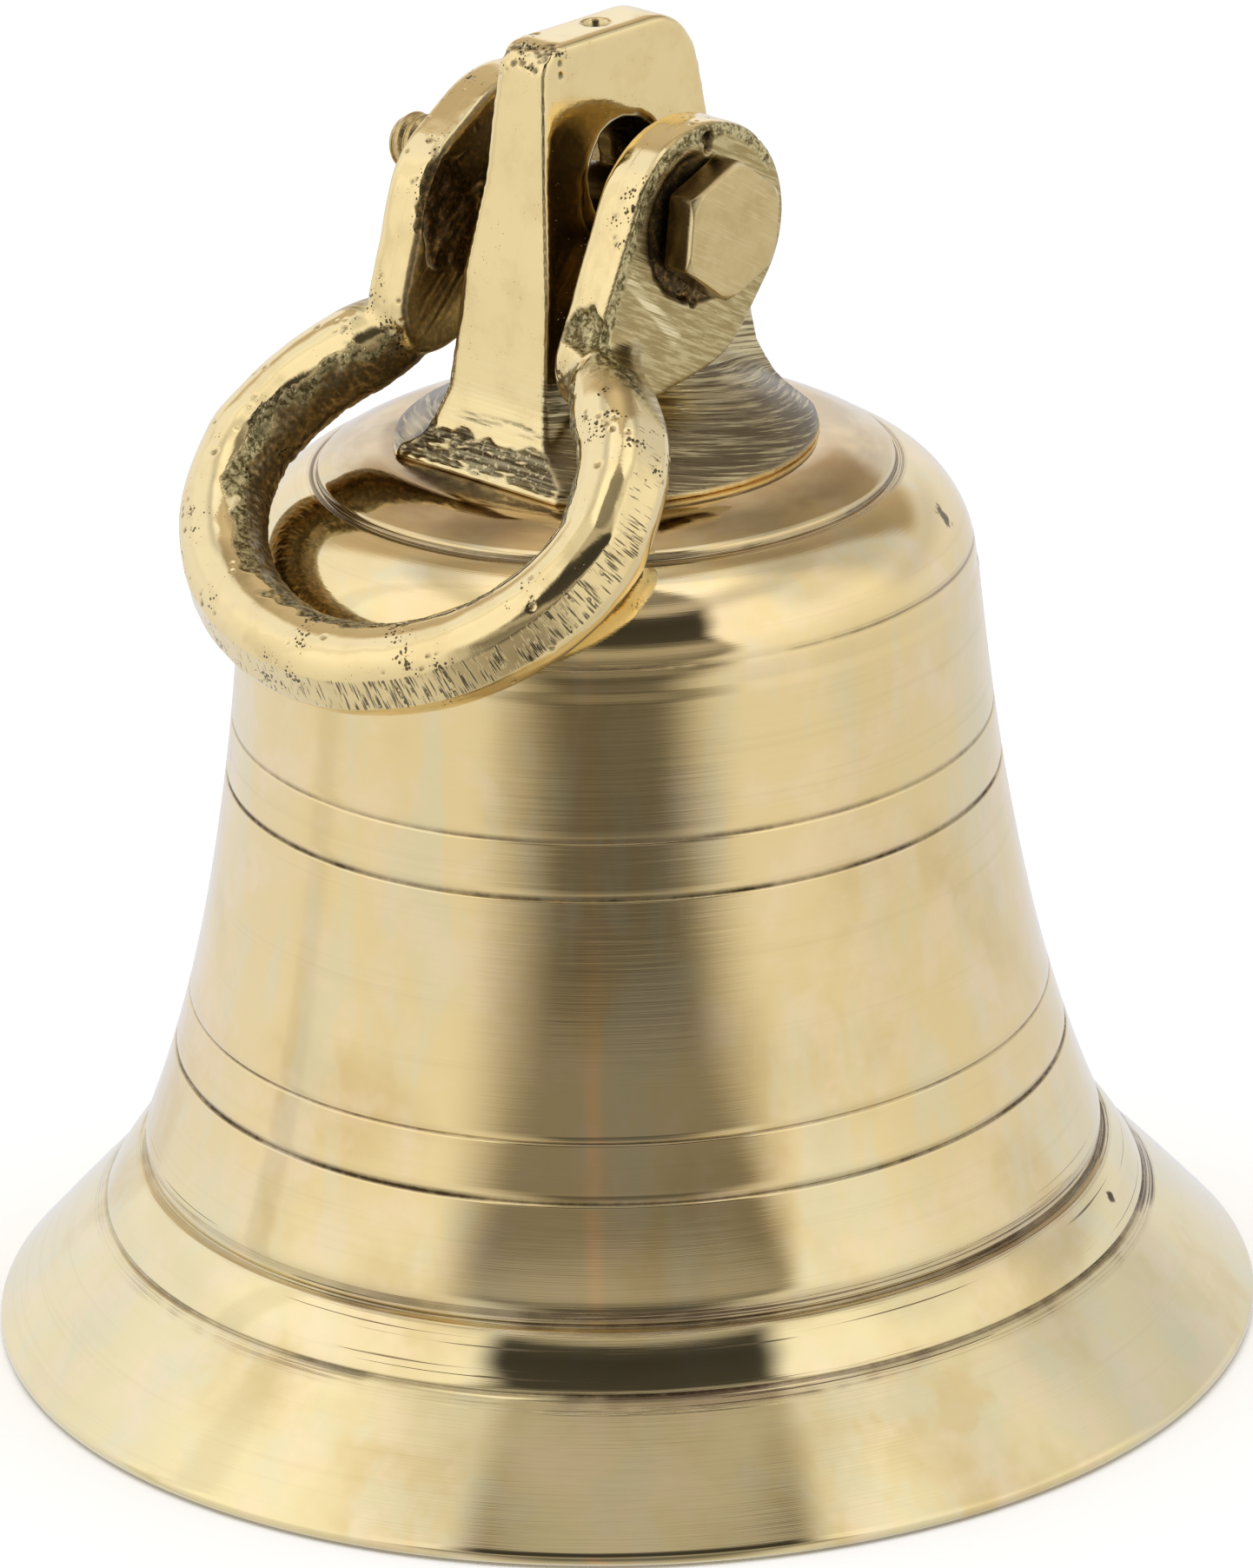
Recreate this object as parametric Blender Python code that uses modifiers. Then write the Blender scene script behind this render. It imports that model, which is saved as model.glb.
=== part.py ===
"""A ship's bell of cast brass, standing on its lip with its shackle fallen on the shoulder.

Metres, +Z up. The origin is the centre of the mouth, in the plane of the lip. The shackle bolt
lies along X with its head at +X, and the shackle has fallen towards -Y.
"""

import math

import bmesh
import bpy
from mathutils import Matrix

# Driving dimensions of the bell.
MOUTH_RADIUS = 0.1016
GAP = 0.0003
FACETS = 56
HOLE_FACETS = 24

LIP_FLAT_INNER = 0.0972
LIP_FLAT_OUTER = 0.1003
LIP_ROUND_HEIGHT = 0.0012
FLARE_FOOT_Z = 0.0024
FLARE_FOOT_RADIUS = 0.1009
BEAD_LOW_Z = 0.0206
BEAD_LOW_RADIUS = 0.0838
BEAD_TOP_Z = 0.0292
BEAD_TOP_RADIUS = 0.0781
BEAD_RISE = 0.0007
BEAD_STEPS = 6
GROOVE_DEPTH = 0.0004
GROOVE_HALF_WIDTH = 0.0004
GROOVE_HEIGHTS = (0.1029, 0.0938, 0.0565, 0.0473)
WAIST_STEP = 0.012
WAIST_CORE_RADIUS = 0.0535
WAIST_FALL = 0.0591
SHOULDER_RADIUS = 0.0178
SHOULDER_CENTRE = (0.0402, 0.1263)
SHOULDER_SWEEP = math.radians(71.5)
CROWN_STEP = 0.0006
CROWN_Z = 0.1480
# (radius, height) where the crown's flat ends, and where it meets the turned step.
CROWN_FLAT = (0.0350, CROWN_Z)
CROWN_RIM = (0.0405, 0.1465)
FLARE_FULLNESS = 0.0003

# The inside: (radius, height) up the sound bow, then a wall of one thickness to a rounded corner.
WALL = 0.0050
SOUND_BOW = (
    (0.0960, 0.0008),
    (0.0870, 0.0090),
    (0.0780, 0.0180),
    (0.0719, 0.0300),
    (0.0665, 0.0460),
)
INNER_WALL_HEIGHTS = (0.066, 0.090, 0.112, 0.124)
INNER_CORNER_CENTRE_RADIUS = 0.0390
CROWN_INNER_Z = 0.1380
CROWN_INNER_FLAT_RADIUS = 0.0300

# The hanging lug, its foot on the crown and its stud through the crown.
LUG_FOOT_Z = CROWN_Z + GAP
LUG_TOP_Z = 0.2153
LUG_EDGE_ROUND = 0.0010
LUG_CORNER_FRONT = 0.0046
LUG_CORNER_BACK = 0.0085
# (height, half thickness along X, half width along Y) of the plate.
LUG_PLATE = (
    (LUG_FOOT_Z, 0.0152, 0.0295),
    (0.1505, 0.0142, 0.0282),
    (0.1540, 0.0128, 0.0263),
    (0.1600, 0.0108, 0.0240),
    (0.1680, 0.0100, 0.0228),
    (0.1780, 0.0094, 0.0216),
    (0.1930, 0.0067, 0.0189),
    (0.2100, 0.0051, 0.0169),
    (LUG_TOP_Z, 0.0048, 0.0164),
)
# (height, radius towards +X, radius towards -X) of the round foot that the plate grows out of.
LUG_FOOT = (
    (LUG_FOOT_Z, 0.0335, 0.0335),
    (0.1500, 0.0331, 0.0322),
    (0.1524, 0.0298, 0.0272),
    (0.1560, 0.0248, 0.0222),
    (0.1600, 0.0175, 0.0170),
    (0.1640, 0.0130, 0.0130),
    (0.1700, 0.0090, 0.0090),
    (0.1760, 0.0050, 0.0050),
    (LUG_TOP_Z, 0.0, 0.0),
)
LUG_HOLE_Z = 0.1924
LUG_HOLE_HALF_WIDTH = 0.0090
LUG_HOLE_HALF_HEIGHT = 0.0102
# How many steps each broad side of the lug has across it, and how tightly foot and plate blend.
LUG_STEPS_ACROSS = 12
LUG_BLEND = 6
CENTRE_DRILL_RADIUS = 0.0023
CENTRE_DRILL_DEPTH = 0.0030
CENTRE_DRILL_TIP_RADIUS = 0.0002
STUD_RADIUS = 0.0060
STUD_END_Z = 0.1212

# The shackle, in its own frame: along X between its eyes, and down -Z to the middle of its bow.
BOLT_AXIS_Z = 0.1876
SHACKLE_LEAN = math.radians(48.6)
EYE_INNER_X = 0.0147
EYE_THICKNESS = 0.0088
# Each eye is the hull of three discs: (sideways, down, radius). The far eye is its mirror image.
EYE_DISCS = (
    (0.0008, 0.0006, 0.0171),
    (0.0040, 0.0085, 0.0152),
    (0.0020, 0.0262, 0.0082),
)
EYE_DISC_FACETS = 28
EYE_EDGE_ROUND = 0.0012
BOW_ROD_RADIUS = 0.00725
BOW_CENTRE_DROP = 0.0563
BOW_ASIDE = 0.0025
BOW_HALF_WIDTH = 0.0381
BOW_HALF_HEIGHT = 0.0314
BOW_LEAD = 0.0120
BOW_FAR_LEAD_START = 0.0285
BOW_STEPS = 10
# (across, down, rod radius factor) of the rod from the eye to the widest part of the bow.
BOW_SHOULDER = (
    (0.0191, 0.0215, 0.58),
    (0.0196, 0.0265, 0.70),
    (0.0222, 0.0315, 0.88),
    (0.0268, 0.0360, 1.0),
    (0.0314, 0.0405, 1.0),
    (0.0351, 0.0468, 1.0),
)

# The bolt through both eyes.
BOLT_RADIUS = 0.00475
BOLT_HEAD_CORNER = 0.0112
BOLT_HEAD_FACE_RADIUS = 0.0098
BOLT_HEAD_CHAMFER_FOOT_RADIUS = 0.0124
BOLT_HEAD_HEIGHT = 0.0055
BOLT_HEAD_TURN = math.radians(22)
BOLT_END_X = -0.0430
BOLT_END_CHAMFER = 0.0009

# The clapper and what it hangs from.
WASHER_RADIUS = 0.0135
WASHER_THICKNESS = 0.0020
CROWN_NUT_CORNER = 0.0110
CROWN_NUT_HEIGHT = 0.0070
FORK_COLLAR_RADIUS = 0.0092
FORK_COLLAR_HEIGHT = 0.0095
FORK_CHEEK_THICKNESS = 0.0044
FORK_SLOT = 0.0072
FORK_HALF_WIDTH = 0.0068
PIVOT_Z = 0.1105
CLAPPER_BOLT_RADIUS = 0.0025
CLAPPER_BOLT_CORNER = 0.0050
CLAPPER_BOLT_HEAD = 0.0034
CLAPPER_NUT_HEIGHT = 0.0038
CLAPPER_BOLT_OVERHANG = 0.0012
CLAPPER_EYE_RADIUS = 0.0066
CLAPPER_EYE_THICKNESS = 0.0060
CLAPPER_ROD_RADIUS = 0.0030
CLAPPER_ROD_END_Z = 0.0140
BALL_RADIUS = 0.0170
BALL_Z = 0.0345
ROPE_EYE_COLLAR_RADIUS = 0.0050
ROPE_EYE_COLLAR_LOW_Z = 0.0125
ROPE_EYE_RING_RADIUS = 0.0036
ROPE_EYE_WIRE_RADIUS = 0.0014
ROPE_EYE_RING_Z = 0.0086

OVERLAP = 0.0010


def clear_scene():
    for obj in list(bpy.data.objects):
        bpy.data.objects.remove(obj, do_unlink=True)


def new_collection(name):
    made = bpy.data.collections.new(name)
    bpy.context.scene.collection.children.link(made)
    return made


def new_material(name, colour, roughness):
    made = bpy.data.materials.new(name)
    made.use_nodes = True
    shader = made.node_tree.nodes["Principled BSDF"]
    shader.inputs["Base Color"].default_value = (*colour, 1.0)
    shader.inputs["Roughness"].default_value = roughness
    shader.inputs["Metallic"].default_value = 1.0
    return made


def smooth_between(points, steps):
    """A Catmull-Rom curve through the points, with this many steps between each two of them."""
    padded = [points[0], *points, points[-1]]
    curve = []
    for before, start, end, after in zip(padded, padded[1:], padded[2:], padded[3:]):
        for step in range(steps):
            t = step / steps
            curve.append(tuple(
                0.5 * (2 * b + (c - a) * t + (2 * a - 5 * b + 4 * c - d) * t**2
                       + (3 * b - a - 3 * c + d) * t**3)
                for a, b, c, d in zip(before, start, end, after)
            ))
    curve.append(tuple(points[-1]))
    return curve


def interpolate(table, height, column):
    """A value of the table at this height, in a straight line between its rows."""
    for low, high in zip(table, table[1:]):
        if height <= high[0]:
            share = (height - low[0]) / (high[0] - low[0])
            return low[column] + share * (high[column] - low[column])
    return table[-1][column]


def arc(centre, radius, start, end, steps):
    return [
        (centre[0] + radius * math.cos(start + (end - start) * step / steps),
         centre[1] + radius * math.sin(start + (end - start) * step / steps))
        for step in range(steps + 1)
    ]


def add_object(name, mesh, collection, material):
    obj = bpy.data.objects.new(name, mesh)
    collection.objects.link(obj)
    if material:
        mesh.materials.append(material)
    return obj


def shade(mesh, angle=40):
    mesh.shade_smooth()
    mesh.set_sharp_from_angle(angle=math.radians(angle))


def mesh_from(build, name):
    """A mesh filled by build(bm), with its faces turned outwards."""
    bm = bmesh.new()
    build(bm)
    bmesh.ops.recalc_face_normals(bm, faces=bm.faces)
    mesh = bpy.data.meshes.new(name)
    bm.to_mesh(mesh)
    bm.free()
    return mesh


def turned(name, outline, closed, facets, collection, material):
    """A piece turned about Z. The outline of (radius, height) runs down its outer side."""
    mesh = bpy.data.meshes.new(name)
    edges = [(i, i + 1) for i in range(len(outline) - 1)]
    if closed:
        edges.append((len(outline) - 1, 0))
    mesh.from_pydata([(radius, 0.0, height) for radius, height in outline], edges, [])
    obj = add_object(name, mesh, collection, material)
    screw = obj.modifiers.new("turn", "SCREW")
    screw.axis = "Z"
    screw.angle = math.tau
    screw.steps = facets
    screw.render_steps = facets
    screw.use_merge_vertices = True
    screw.merge_threshold = 0.00001
    screw.use_smooth_shade = True
    weld = obj.modifiers.new("weld", "WELD")
    weld.merge_threshold = 0.00001
    return obj


def bar(name, radius, start, end, facets, collection, material, turn=0.0, end_radius=None):
    """A straight round or many-sided bar along X from start to end, about the X axis."""
    def build(bm):
        bmesh.ops.create_cone(
            bm, cap_ends=True, segments=facets, radius1=radius,
            radius2=radius if end_radius is None else end_radius, depth=end - start,
        )
        bmesh.ops.rotate(bm, verts=bm.verts, matrix=Matrix.Rotation(math.pi / 2, 3, "Y"))
        bmesh.ops.rotate(bm, verts=bm.verts, matrix=Matrix.Rotation(turn, 3, "X"))
        bmesh.ops.translate(bm, verts=bm.verts, vec=((start + end) / 2, 0.0, 0.0))

    obj = add_object(name, mesh_from(build, name), collection, material)
    shade(obj.data)
    return obj


def post(name, radius, low, high, facets, collection, material, top_radius=None):
    """A straight round or many-sided post along Z from low to high, about the Z axis."""
    def build(bm):
        bmesh.ops.create_cone(
            bm, cap_ends=True, segments=facets, radius1=radius,
            radius2=radius if top_radius is None else top_radius, depth=high - low,
        )
        bmesh.ops.translate(bm, verts=bm.verts, vec=(0.0, 0.0, (low + high) / 2))

    obj = add_object(name, mesh_from(build, name), collection, material)
    shade(obj.data)
    return obj


def block(name, size, centre, collection, material):
    def build(bm):
        bmesh.ops.create_cube(bm, size=1.0)
        bmesh.ops.scale(bm, verts=bm.verts, vec=size)
        bmesh.ops.translate(bm, verts=bm.verts, vec=centre)

    return add_object(name, mesh_from(build, name), collection, material)


def as_helper(obj):
    obj.hide_render = True
    obj.display_type = "WIRE"
    return obj


def combine(obj, other, operation):
    """Adds a Boolean of the helper object to the object."""
    as_helper(other)
    boolean = obj.modifiers.new(other.name, "BOOLEAN")
    boolean.operation = operation
    boolean.solver = "EXACT"
    boolean.object = other


# The bell.

def waist_radius(height):
    fall = math.exp((BEAD_TOP_Z - height) / WAIST_FALL)
    return WAIST_CORE_RADIUS + (BEAD_TOP_RADIUS - WAIST_CORE_RADIUS) * fall


def waist_outline():
    """Down the waist from the shoulder to the bead, with a V groove at each turned line."""
    top = SHOULDER_CENTRE[1]
    stops = [top, *GROOVE_HEIGHTS, BEAD_TOP_Z + GROOVE_HALF_WIDTH * 2]
    outline = []
    for high, low in zip(stops, stops[1:]):
        high_edge = high - (GROOVE_HALF_WIDTH if high in GROOVE_HEIGHTS else 0.0)
        low_edge = low + (GROOVE_HALF_WIDTH if low in GROOVE_HEIGHTS else 0.0)
        steps = max(1, round((high - low) / WAIST_STEP))
        for step in range(steps + 1):
            height = high_edge + (low_edge - high_edge) * step / steps
            outline.append((waist_radius(height), height))
        if low in GROOVE_HEIGHTS:
            outline.append((waist_radius(low) - GROOVE_DEPTH, low))
    return outline[1:]


def bead_outline():
    """The rounded bead between two turned coves, above the flare."""
    groove = BEAD_TOP_RADIUS - GROOVE_DEPTH * 1.5
    outline = [(groove, BEAD_TOP_Z)]
    for step in range(1, BEAD_STEPS):
        share = step / BEAD_STEPS
        rise = BEAD_RISE * math.sin(math.pi * share)
        outline.append((
            BEAD_TOP_RADIUS + (BEAD_LOW_RADIUS - BEAD_TOP_RADIUS) * share + rise,
            BEAD_TOP_Z + (BEAD_LOW_Z - BEAD_TOP_Z) * share + rise * 0.6,
        ))
    outline.append((BEAD_LOW_RADIUS - GROOVE_DEPTH, BEAD_LOW_Z))
    outline.append((BEAD_LOW_RADIUS + GROOVE_HALF_WIDTH, BEAD_LOW_Z - GROOVE_HALF_WIDTH))
    return outline


def lip_outline():
    """Down the flare and round the edge to the flat that the bell stands on."""
    middle = ((BEAD_LOW_RADIUS + FLARE_FOOT_RADIUS) / 2 + FLARE_FULLNESS,
              (BEAD_LOW_Z + FLARE_FOOT_Z) / 2)
    return [
        middle,
        (FLARE_FOOT_RADIUS, FLARE_FOOT_Z),
        (MOUTH_RADIUS, LIP_ROUND_HEIGHT),
        (MOUTH_RADIUS - 0.0004, 0.0003),
        (LIP_FLAT_OUTER, 0.0),
        (LIP_FLAT_INNER, 0.0),
        SOUND_BOW[0],
    ]


def inside_outline():
    """Up the inside, from the lip over the sound bow to the hole in the crown."""
    wall = [(waist_radius(height) - WALL, height) for height in INNER_WALL_HEIGHTS]
    corner_radius = wall[-1][0] - INNER_CORNER_CENTRE_RADIUS
    corner_centre = (INNER_CORNER_CENTRE_RADIUS, wall[-1][1])
    corner = arc(corner_centre, corner_radius, 0.0, math.radians(80), 5)[1:]
    return smooth_between(SOUND_BOW, 2)[1:] + wall + corner + [
        (CROWN_INNER_FLAT_RADIUS, CROWN_INNER_Z),
        (STUD_RADIUS + GAP, CROWN_INNER_Z),
    ]


def crown_outline():
    """From the stud's hole, out over the crown and its turned step, and round the shoulder."""
    shoulder = arc(SHOULDER_CENTRE, SHOULDER_RADIUS, SHOULDER_SWEEP, 0.0, 7)
    step_radius, step_z = shoulder[0]
    return [
        (STUD_RADIUS + GAP, CROWN_Z),
        CROWN_FLAT,
        CROWN_RIM,
        (step_radius - CROWN_STEP, step_z + CROWN_STEP * 1.5),
        *shoulder,
    ]


def bell_body(parts, material):
    outline = crown_outline() + waist_outline() + bead_outline() + lip_outline()
    turned("bell_body", outline + inside_outline(), True, FACETS, parts, material)


# The lug.

def lug_section(height):
    """The points round the lug at this height: a plate that grows out of a turned foot."""
    half_thickness = interpolate(LUG_PLATE, height, 1)
    half_width = interpolate(LUG_PLATE, height, 2)
    front = half_width - corner_inset(height, LUG_CORNER_FRONT)
    back = half_width - corner_inset(height, LUG_CORNER_BACK)
    half_thickness -= corner_inset(height, LUG_EDGE_ROUND)
    across = [(back - front) / 2 - (back + front) / 2 * math.cos(math.pi * step / LUG_STEPS_ACROSS)
              for step in range(LUG_STEPS_ACROSS + 1)]

    def side(column, y):
        flare = math.sqrt(max(interpolate(LUG_FOOT, height, column) ** 2 - y**2, 0.0))
        return (half_thickness**LUG_BLEND + flare**LUG_BLEND) ** (1 / LUG_BLEND)

    return [(side(1, y), y) for y in across] + [(-side(2, y), y) for y in reversed(across)]


def corner_inset(height, radius):
    """How far a corner of this radius at the lug's top has rounded inwards at this height."""
    rise = height - (LUG_TOP_Z - radius)
    if rise <= 0.0:
        return 0.0
    return radius - math.sqrt(max(radius**2 - rise**2, 0.0))


def lug_heights():
    foot_and_plate = [LUG_FOOT_Z, 0.1500, 0.1524, 0.1560, 0.1600, 0.1640, 0.1700,
                      0.1780, 0.1860, 0.1930, 0.2010]
    top = [LUG_TOP_Z - LUG_CORNER_BACK * (1 - math.sin(math.radians(angle)))
           for angle in (0, 20, 40, 55, 68, 80, 90)]
    return foot_and_plate + top


def lug_loft(bm):
    rings = []
    for height in lug_heights():
        rings.append([bm.verts.new((x, y, height)) for x, y in lug_section(height)])
    for lower, upper in zip(rings, rings[1:]):
        for i in range(len(lower)):
            j = (i + 1) % len(lower)
            bm.faces.new((lower[i], lower[j], upper[j], upper[i]))
    bm.faces.new(rings[0])
    bm.faces.new(rings[-1])


def crown_lug(parts, cutters, material):
    obj = add_object("crown_lug", mesh_from(lug_loft, "crown_lug"), parts, material)
    shade(obj.data, 35)
    stud = post("lug_stud", STUD_RADIUS, STUD_END_Z, LUG_FOOT_Z + OVERLAP, HOLE_FACETS, cutters, None)
    combine(obj, stud, "UNION")
    reach = LUG_PLATE[0][1] + OVERLAP
    hole = bar("lug_hole", 1.0, -reach, reach, 32, cutters, None)
    for vertex in hole.data.vertices:
        vertex.co.y *= LUG_HOLE_HALF_WIDTH
        vertex.co.z = vertex.co.z * LUG_HOLE_HALF_HEIGHT + LUG_HOLE_Z
    combine(obj, hole, "DIFFERENCE")
    mouth_radius = CENTRE_DRILL_RADIUS * (1 + OVERLAP / CENTRE_DRILL_DEPTH)
    drill = post("lug_centre_drill", CENTRE_DRILL_TIP_RADIUS, LUG_TOP_Z - CENTRE_DRILL_DEPTH,
                 LUG_TOP_Z + OVERLAP, 12, cutters, None, top_radius=mouth_radius)
    combine(obj, drill, "DIFFERENCE")


# The shackle and its bolt.

def eye_plate(bm, side):
    """The flat plate round one bolt hole: the hull of the eye's discs on its two faces."""
    for x in (EYE_INNER_X, EYE_INNER_X + EYE_THICKNESS):
        for across, down, radius in EYE_DISCS:
            for y, z in arc((across, -down), radius, 0.0, math.tau, EYE_DISC_FACETS)[:-1]:
                bm.verts.new((side * x, side * y, z))
    hull = bmesh.ops.convex_hull(bm, input=bm.verts)
    inner = {item for item in hull["geom_interior"] if isinstance(item, bmesh.types.BMVert)}
    bmesh.ops.delete(bm, geom=list(inner), context="VERTS")
    bmesh.ops.dissolve_limit(bm, angle_limit=math.radians(1), verts=bm.verts, edges=bm.edges)


def add_eye(name, side, collection, material):
    obj = add_object(name, mesh_from(lambda bm: eye_plate(bm, side), name), collection, material)
    rounding = obj.modifiers.new("edges", "BEVEL")
    rounding.width = EYE_EDGE_ROUND
    rounding.segments = 2
    rounding.limit_method = "ANGLE"
    rounding.angle_limit = math.radians(50)
    place_on_bolt_axis(obj)
    return obj


def place_on_bolt_axis(obj):
    obj.location = (0.0, 0.0, BOLT_AXIS_Z)
    obj.rotation_euler = (-SHACKLE_LEAN, 0.0, 0.0)


def bow_path():
    """(across, down, rod radius factor) along the bow, from the far eye round to the near eye."""
    half = [(BOW_HALF_WIDTH * math.sin(turn), BOW_CENTRE_DROP + BOW_HALF_HEIGHT * math.cos(turn), 1.0)
            for turn in (math.pi / 2 * (1 - step / BOW_STEPS) for step in range(BOW_STEPS + 1))]
    arm = smooth_between([*BOW_SHOULDER, half[0]], 3)[:-1] + half
    far = [(aside(-across, down, BOW_FAR_LEAD_START), down, factor) for across, down, factor in arm[:-1]]
    near = [(aside(across, down, BOW_SHOULDER[0][1]), down, factor) for across, down, factor in arm]
    return far + near[::-1]


def aside(across, down, start):
    """The bow sits a little to one side of its eyes, and its arms lead over to it below start."""
    return across + BOW_ASIDE * min(1.0, max(0.0, (down - start) / BOW_LEAD))


def bow_rod(collection):
    curve = bpy.data.curves.new("bow_rod", "CURVE")
    curve.dimensions = "3D"
    curve.bevel_depth = BOW_ROD_RADIUS
    curve.bevel_resolution = 4
    curve.use_fill_caps = True
    path = bow_path()
    spline = curve.splines.new("POLY")
    spline.points.add(len(path) - 1)
    for point, (across, down, factor) in zip(spline.points, path):
        point.co = (across, 0.0, -down, 1.0)
        point.radius = factor
    guide = bpy.data.objects.new("bow_guide", curve)
    collection.objects.link(guide)
    return curve_to_mesh(guide, "bow_rod", collection)


def curve_to_mesh(guide, name, collection):
    bpy.context.view_layer.update()
    evaluated = guide.evaluated_get(bpy.context.evaluated_depsgraph_get())
    mesh = bpy.data.meshes.new_from_object(evaluated)
    bm = bmesh.new()
    bm.from_mesh(mesh)
    bmesh.ops.remove_doubles(bm, verts=bm.verts, dist=0.00001)
    bmesh.ops.recalc_face_normals(bm, faces=bm.faces)
    bm.to_mesh(mesh)
    bm.free()
    obj = bpy.data.objects.new(name, mesh)
    collection.objects.link(obj)
    bpy.data.objects.remove(guide, do_unlink=True)
    return obj


def shackle(parts, cutters, material):
    obj = add_eye("shackle", 1, parts, material)
    far_eye = add_eye("shackle_far_eye", -1, cutters, None)
    rod = bow_rod(cutters)
    place_on_bolt_axis(rod)
    reach = EYE_INNER_X + EYE_THICKNESS + OVERLAP
    bore = bar("shackle_bore", BOLT_RADIUS + GAP, -reach, reach, HOLE_FACETS, cutters, None)
    place_on_bolt_axis(bore)
    combine(obj, far_eye, "UNION")
    combine(obj, rod, "UNION")
    combine(obj, bore, "DIFFERENCE")
    shade(obj.data, 35)


def shackle_bolt(parts, cutters, material):
    head_x = EYE_INNER_X + EYE_THICKNESS + GAP
    shank_end = BOLT_END_X + BOLT_END_CHAMFER
    obj = bar("shackle_bolt", BOLT_HEAD_CORNER, head_x, head_x + BOLT_HEAD_HEIGHT, 6, parts, material,
              turn=BOLT_HEAD_TURN)
    chamfer = bar("bolt_head_round", BOLT_HEAD_CHAMFER_FOOT_RADIUS, head_x - OVERLAP,
                  head_x + BOLT_HEAD_HEIGHT, 32, cutters, None, end_radius=BOLT_HEAD_FACE_RADIUS)
    shank = bar("bolt_shank", BOLT_RADIUS, shank_end, head_x + OVERLAP, HOLE_FACETS, cutters, None)
    tip = bar("bolt_tip", BOLT_RADIUS - BOLT_END_CHAMFER, BOLT_END_X, shank_end + BOLT_END_CHAMFER / 2,
              HOLE_FACETS, cutters, None, end_radius=BOLT_RADIUS + BOLT_END_CHAMFER / 2)
    combine(obj, chamfer, "INTERSECT")
    combine(obj, shank, "UNION")
    combine(shank, tip, "UNION")
    for piece in (obj, chamfer, shank, tip):
        piece.location = (0.0, 0.0, BOLT_AXIS_Z)


# The clapper, with the pieces that hold it under the crown.

def crown_fixings(parts, cutters, material):
    washer_top = CROWN_INNER_Z - GAP
    washer_low = washer_top - WASHER_THICKNESS
    bore = STUD_RADIUS + GAP
    turned("crown_washer", [(bore, washer_top), (WASHER_RADIUS, washer_top),
                            (WASHER_RADIUS, washer_low), (bore, washer_low)],
           True, 32, parts, material)
    nut_top = washer_low - GAP
    nut = post("crown_nut", CROWN_NUT_CORNER, nut_top - CROWN_NUT_HEIGHT, nut_top, 6, parts, material)
    hole = post("crown_nut_hole", bore, nut_top - 2 * CROWN_NUT_HEIGHT, nut_top + OVERLAP,
                HOLE_FACETS, cutters, None)
    combine(nut, hole, "DIFFERENCE")
    return nut_top - CROWN_NUT_HEIGHT - GAP


def clapper_fork(top, parts, cutters, material):
    collar_low = top - FORK_COLLAR_HEIGHT
    obj = post("clapper_fork", FORK_COLLAR_RADIUS, collar_low, top, HOLE_FACETS, parts, material)
    width = FORK_SLOT + 2 * FORK_CHEEK_THICKNESS
    cheeks = block("fork_cheeks", (width, 2 * FORK_HALF_WIDTH, collar_low + OVERLAP - PIVOT_Z),
                   (0.0, 0.0, (collar_low + OVERLAP + PIVOT_Z) / 2), cutters, None)
    round_ends = bar("fork_ends", FORK_HALF_WIDTH, -width / 2, width / 2, HOLE_FACETS, cutters, None)
    pin_hole = bar("fork_pin_hole", CLAPPER_BOLT_RADIUS + GAP, -width, width, 16, cutters, None)
    for piece in (round_ends, pin_hole):
        piece.location = (0.0, 0.0, PIVOT_Z)
    slot_low = PIVOT_Z - 2 * FORK_HALF_WIDTH
    slot_high = PIVOT_Z + CLAPPER_EYE_RADIUS + 4 * GAP
    slot = block("fork_slot", (FORK_SLOT, 4 * FORK_HALF_WIDTH, slot_high - slot_low),
                 (0.0, 0.0, (slot_low + slot_high) / 2), cutters, None)
    stud_hole = post("fork_stud_hole", STUD_RADIUS + GAP, STUD_END_Z - GAP, top + OVERLAP,
                     HOLE_FACETS, cutters, None)
    combine(obj, cheeks, "UNION")
    combine(obj, round_ends, "UNION")
    for cutter in (slot, pin_hole, stud_hole):
        combine(obj, cutter, "DIFFERENCE")


def clapper_bolt(parts, cutters, material):
    face = FORK_SLOT / 2 + FORK_CHEEK_THICKNESS + GAP
    end = -(face + CLAPPER_NUT_HEIGHT + CLAPPER_BOLT_OVERHANG)
    bolt = bar("clapper_bolt", CLAPPER_BOLT_CORNER, face, face + CLAPPER_BOLT_HEAD, 6, parts, material)
    shank = bar("clapper_bolt_shank", CLAPPER_BOLT_RADIUS, end, face + OVERLAP, 16, cutters, None)
    combine(bolt, shank, "UNION")
    nut = bar("clapper_bolt_nut", CLAPPER_BOLT_CORNER, -face - CLAPPER_NUT_HEIGHT, -face, 6,
              parts, material)
    hole = bar("clapper_nut_hole", CLAPPER_BOLT_RADIUS + GAP, 2 * end, 0.0, 16, cutters, None)
    combine(nut, hole, "DIFFERENCE")
    for piece in (bolt, shank, nut, hole):
        piece.location = (0.0, 0.0, PIVOT_Z)


def clapper_rod(parts, cutters, material):
    half = CLAPPER_EYE_THICKNESS / 2
    obj = bar("clapper_rod", CLAPPER_EYE_RADIUS, -half, half, HOLE_FACETS, parts, material)
    rod = post("clapper_rod_stem", CLAPPER_ROD_RADIUS, CLAPPER_ROD_END_Z - PIVOT_Z,
               -CLAPPER_EYE_RADIUS + OVERLAP, 16, cutters, None)
    hole = bar("clapper_eye_hole", CLAPPER_BOLT_RADIUS + GAP, -2 * half, 2 * half, 16, cutters, None)
    combine(obj, rod, "UNION")
    combine(obj, hole, "DIFFERENCE")
    for piece in (obj, rod, hole):
        piece.location = (0.0, 0.0, PIVOT_Z)


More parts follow.
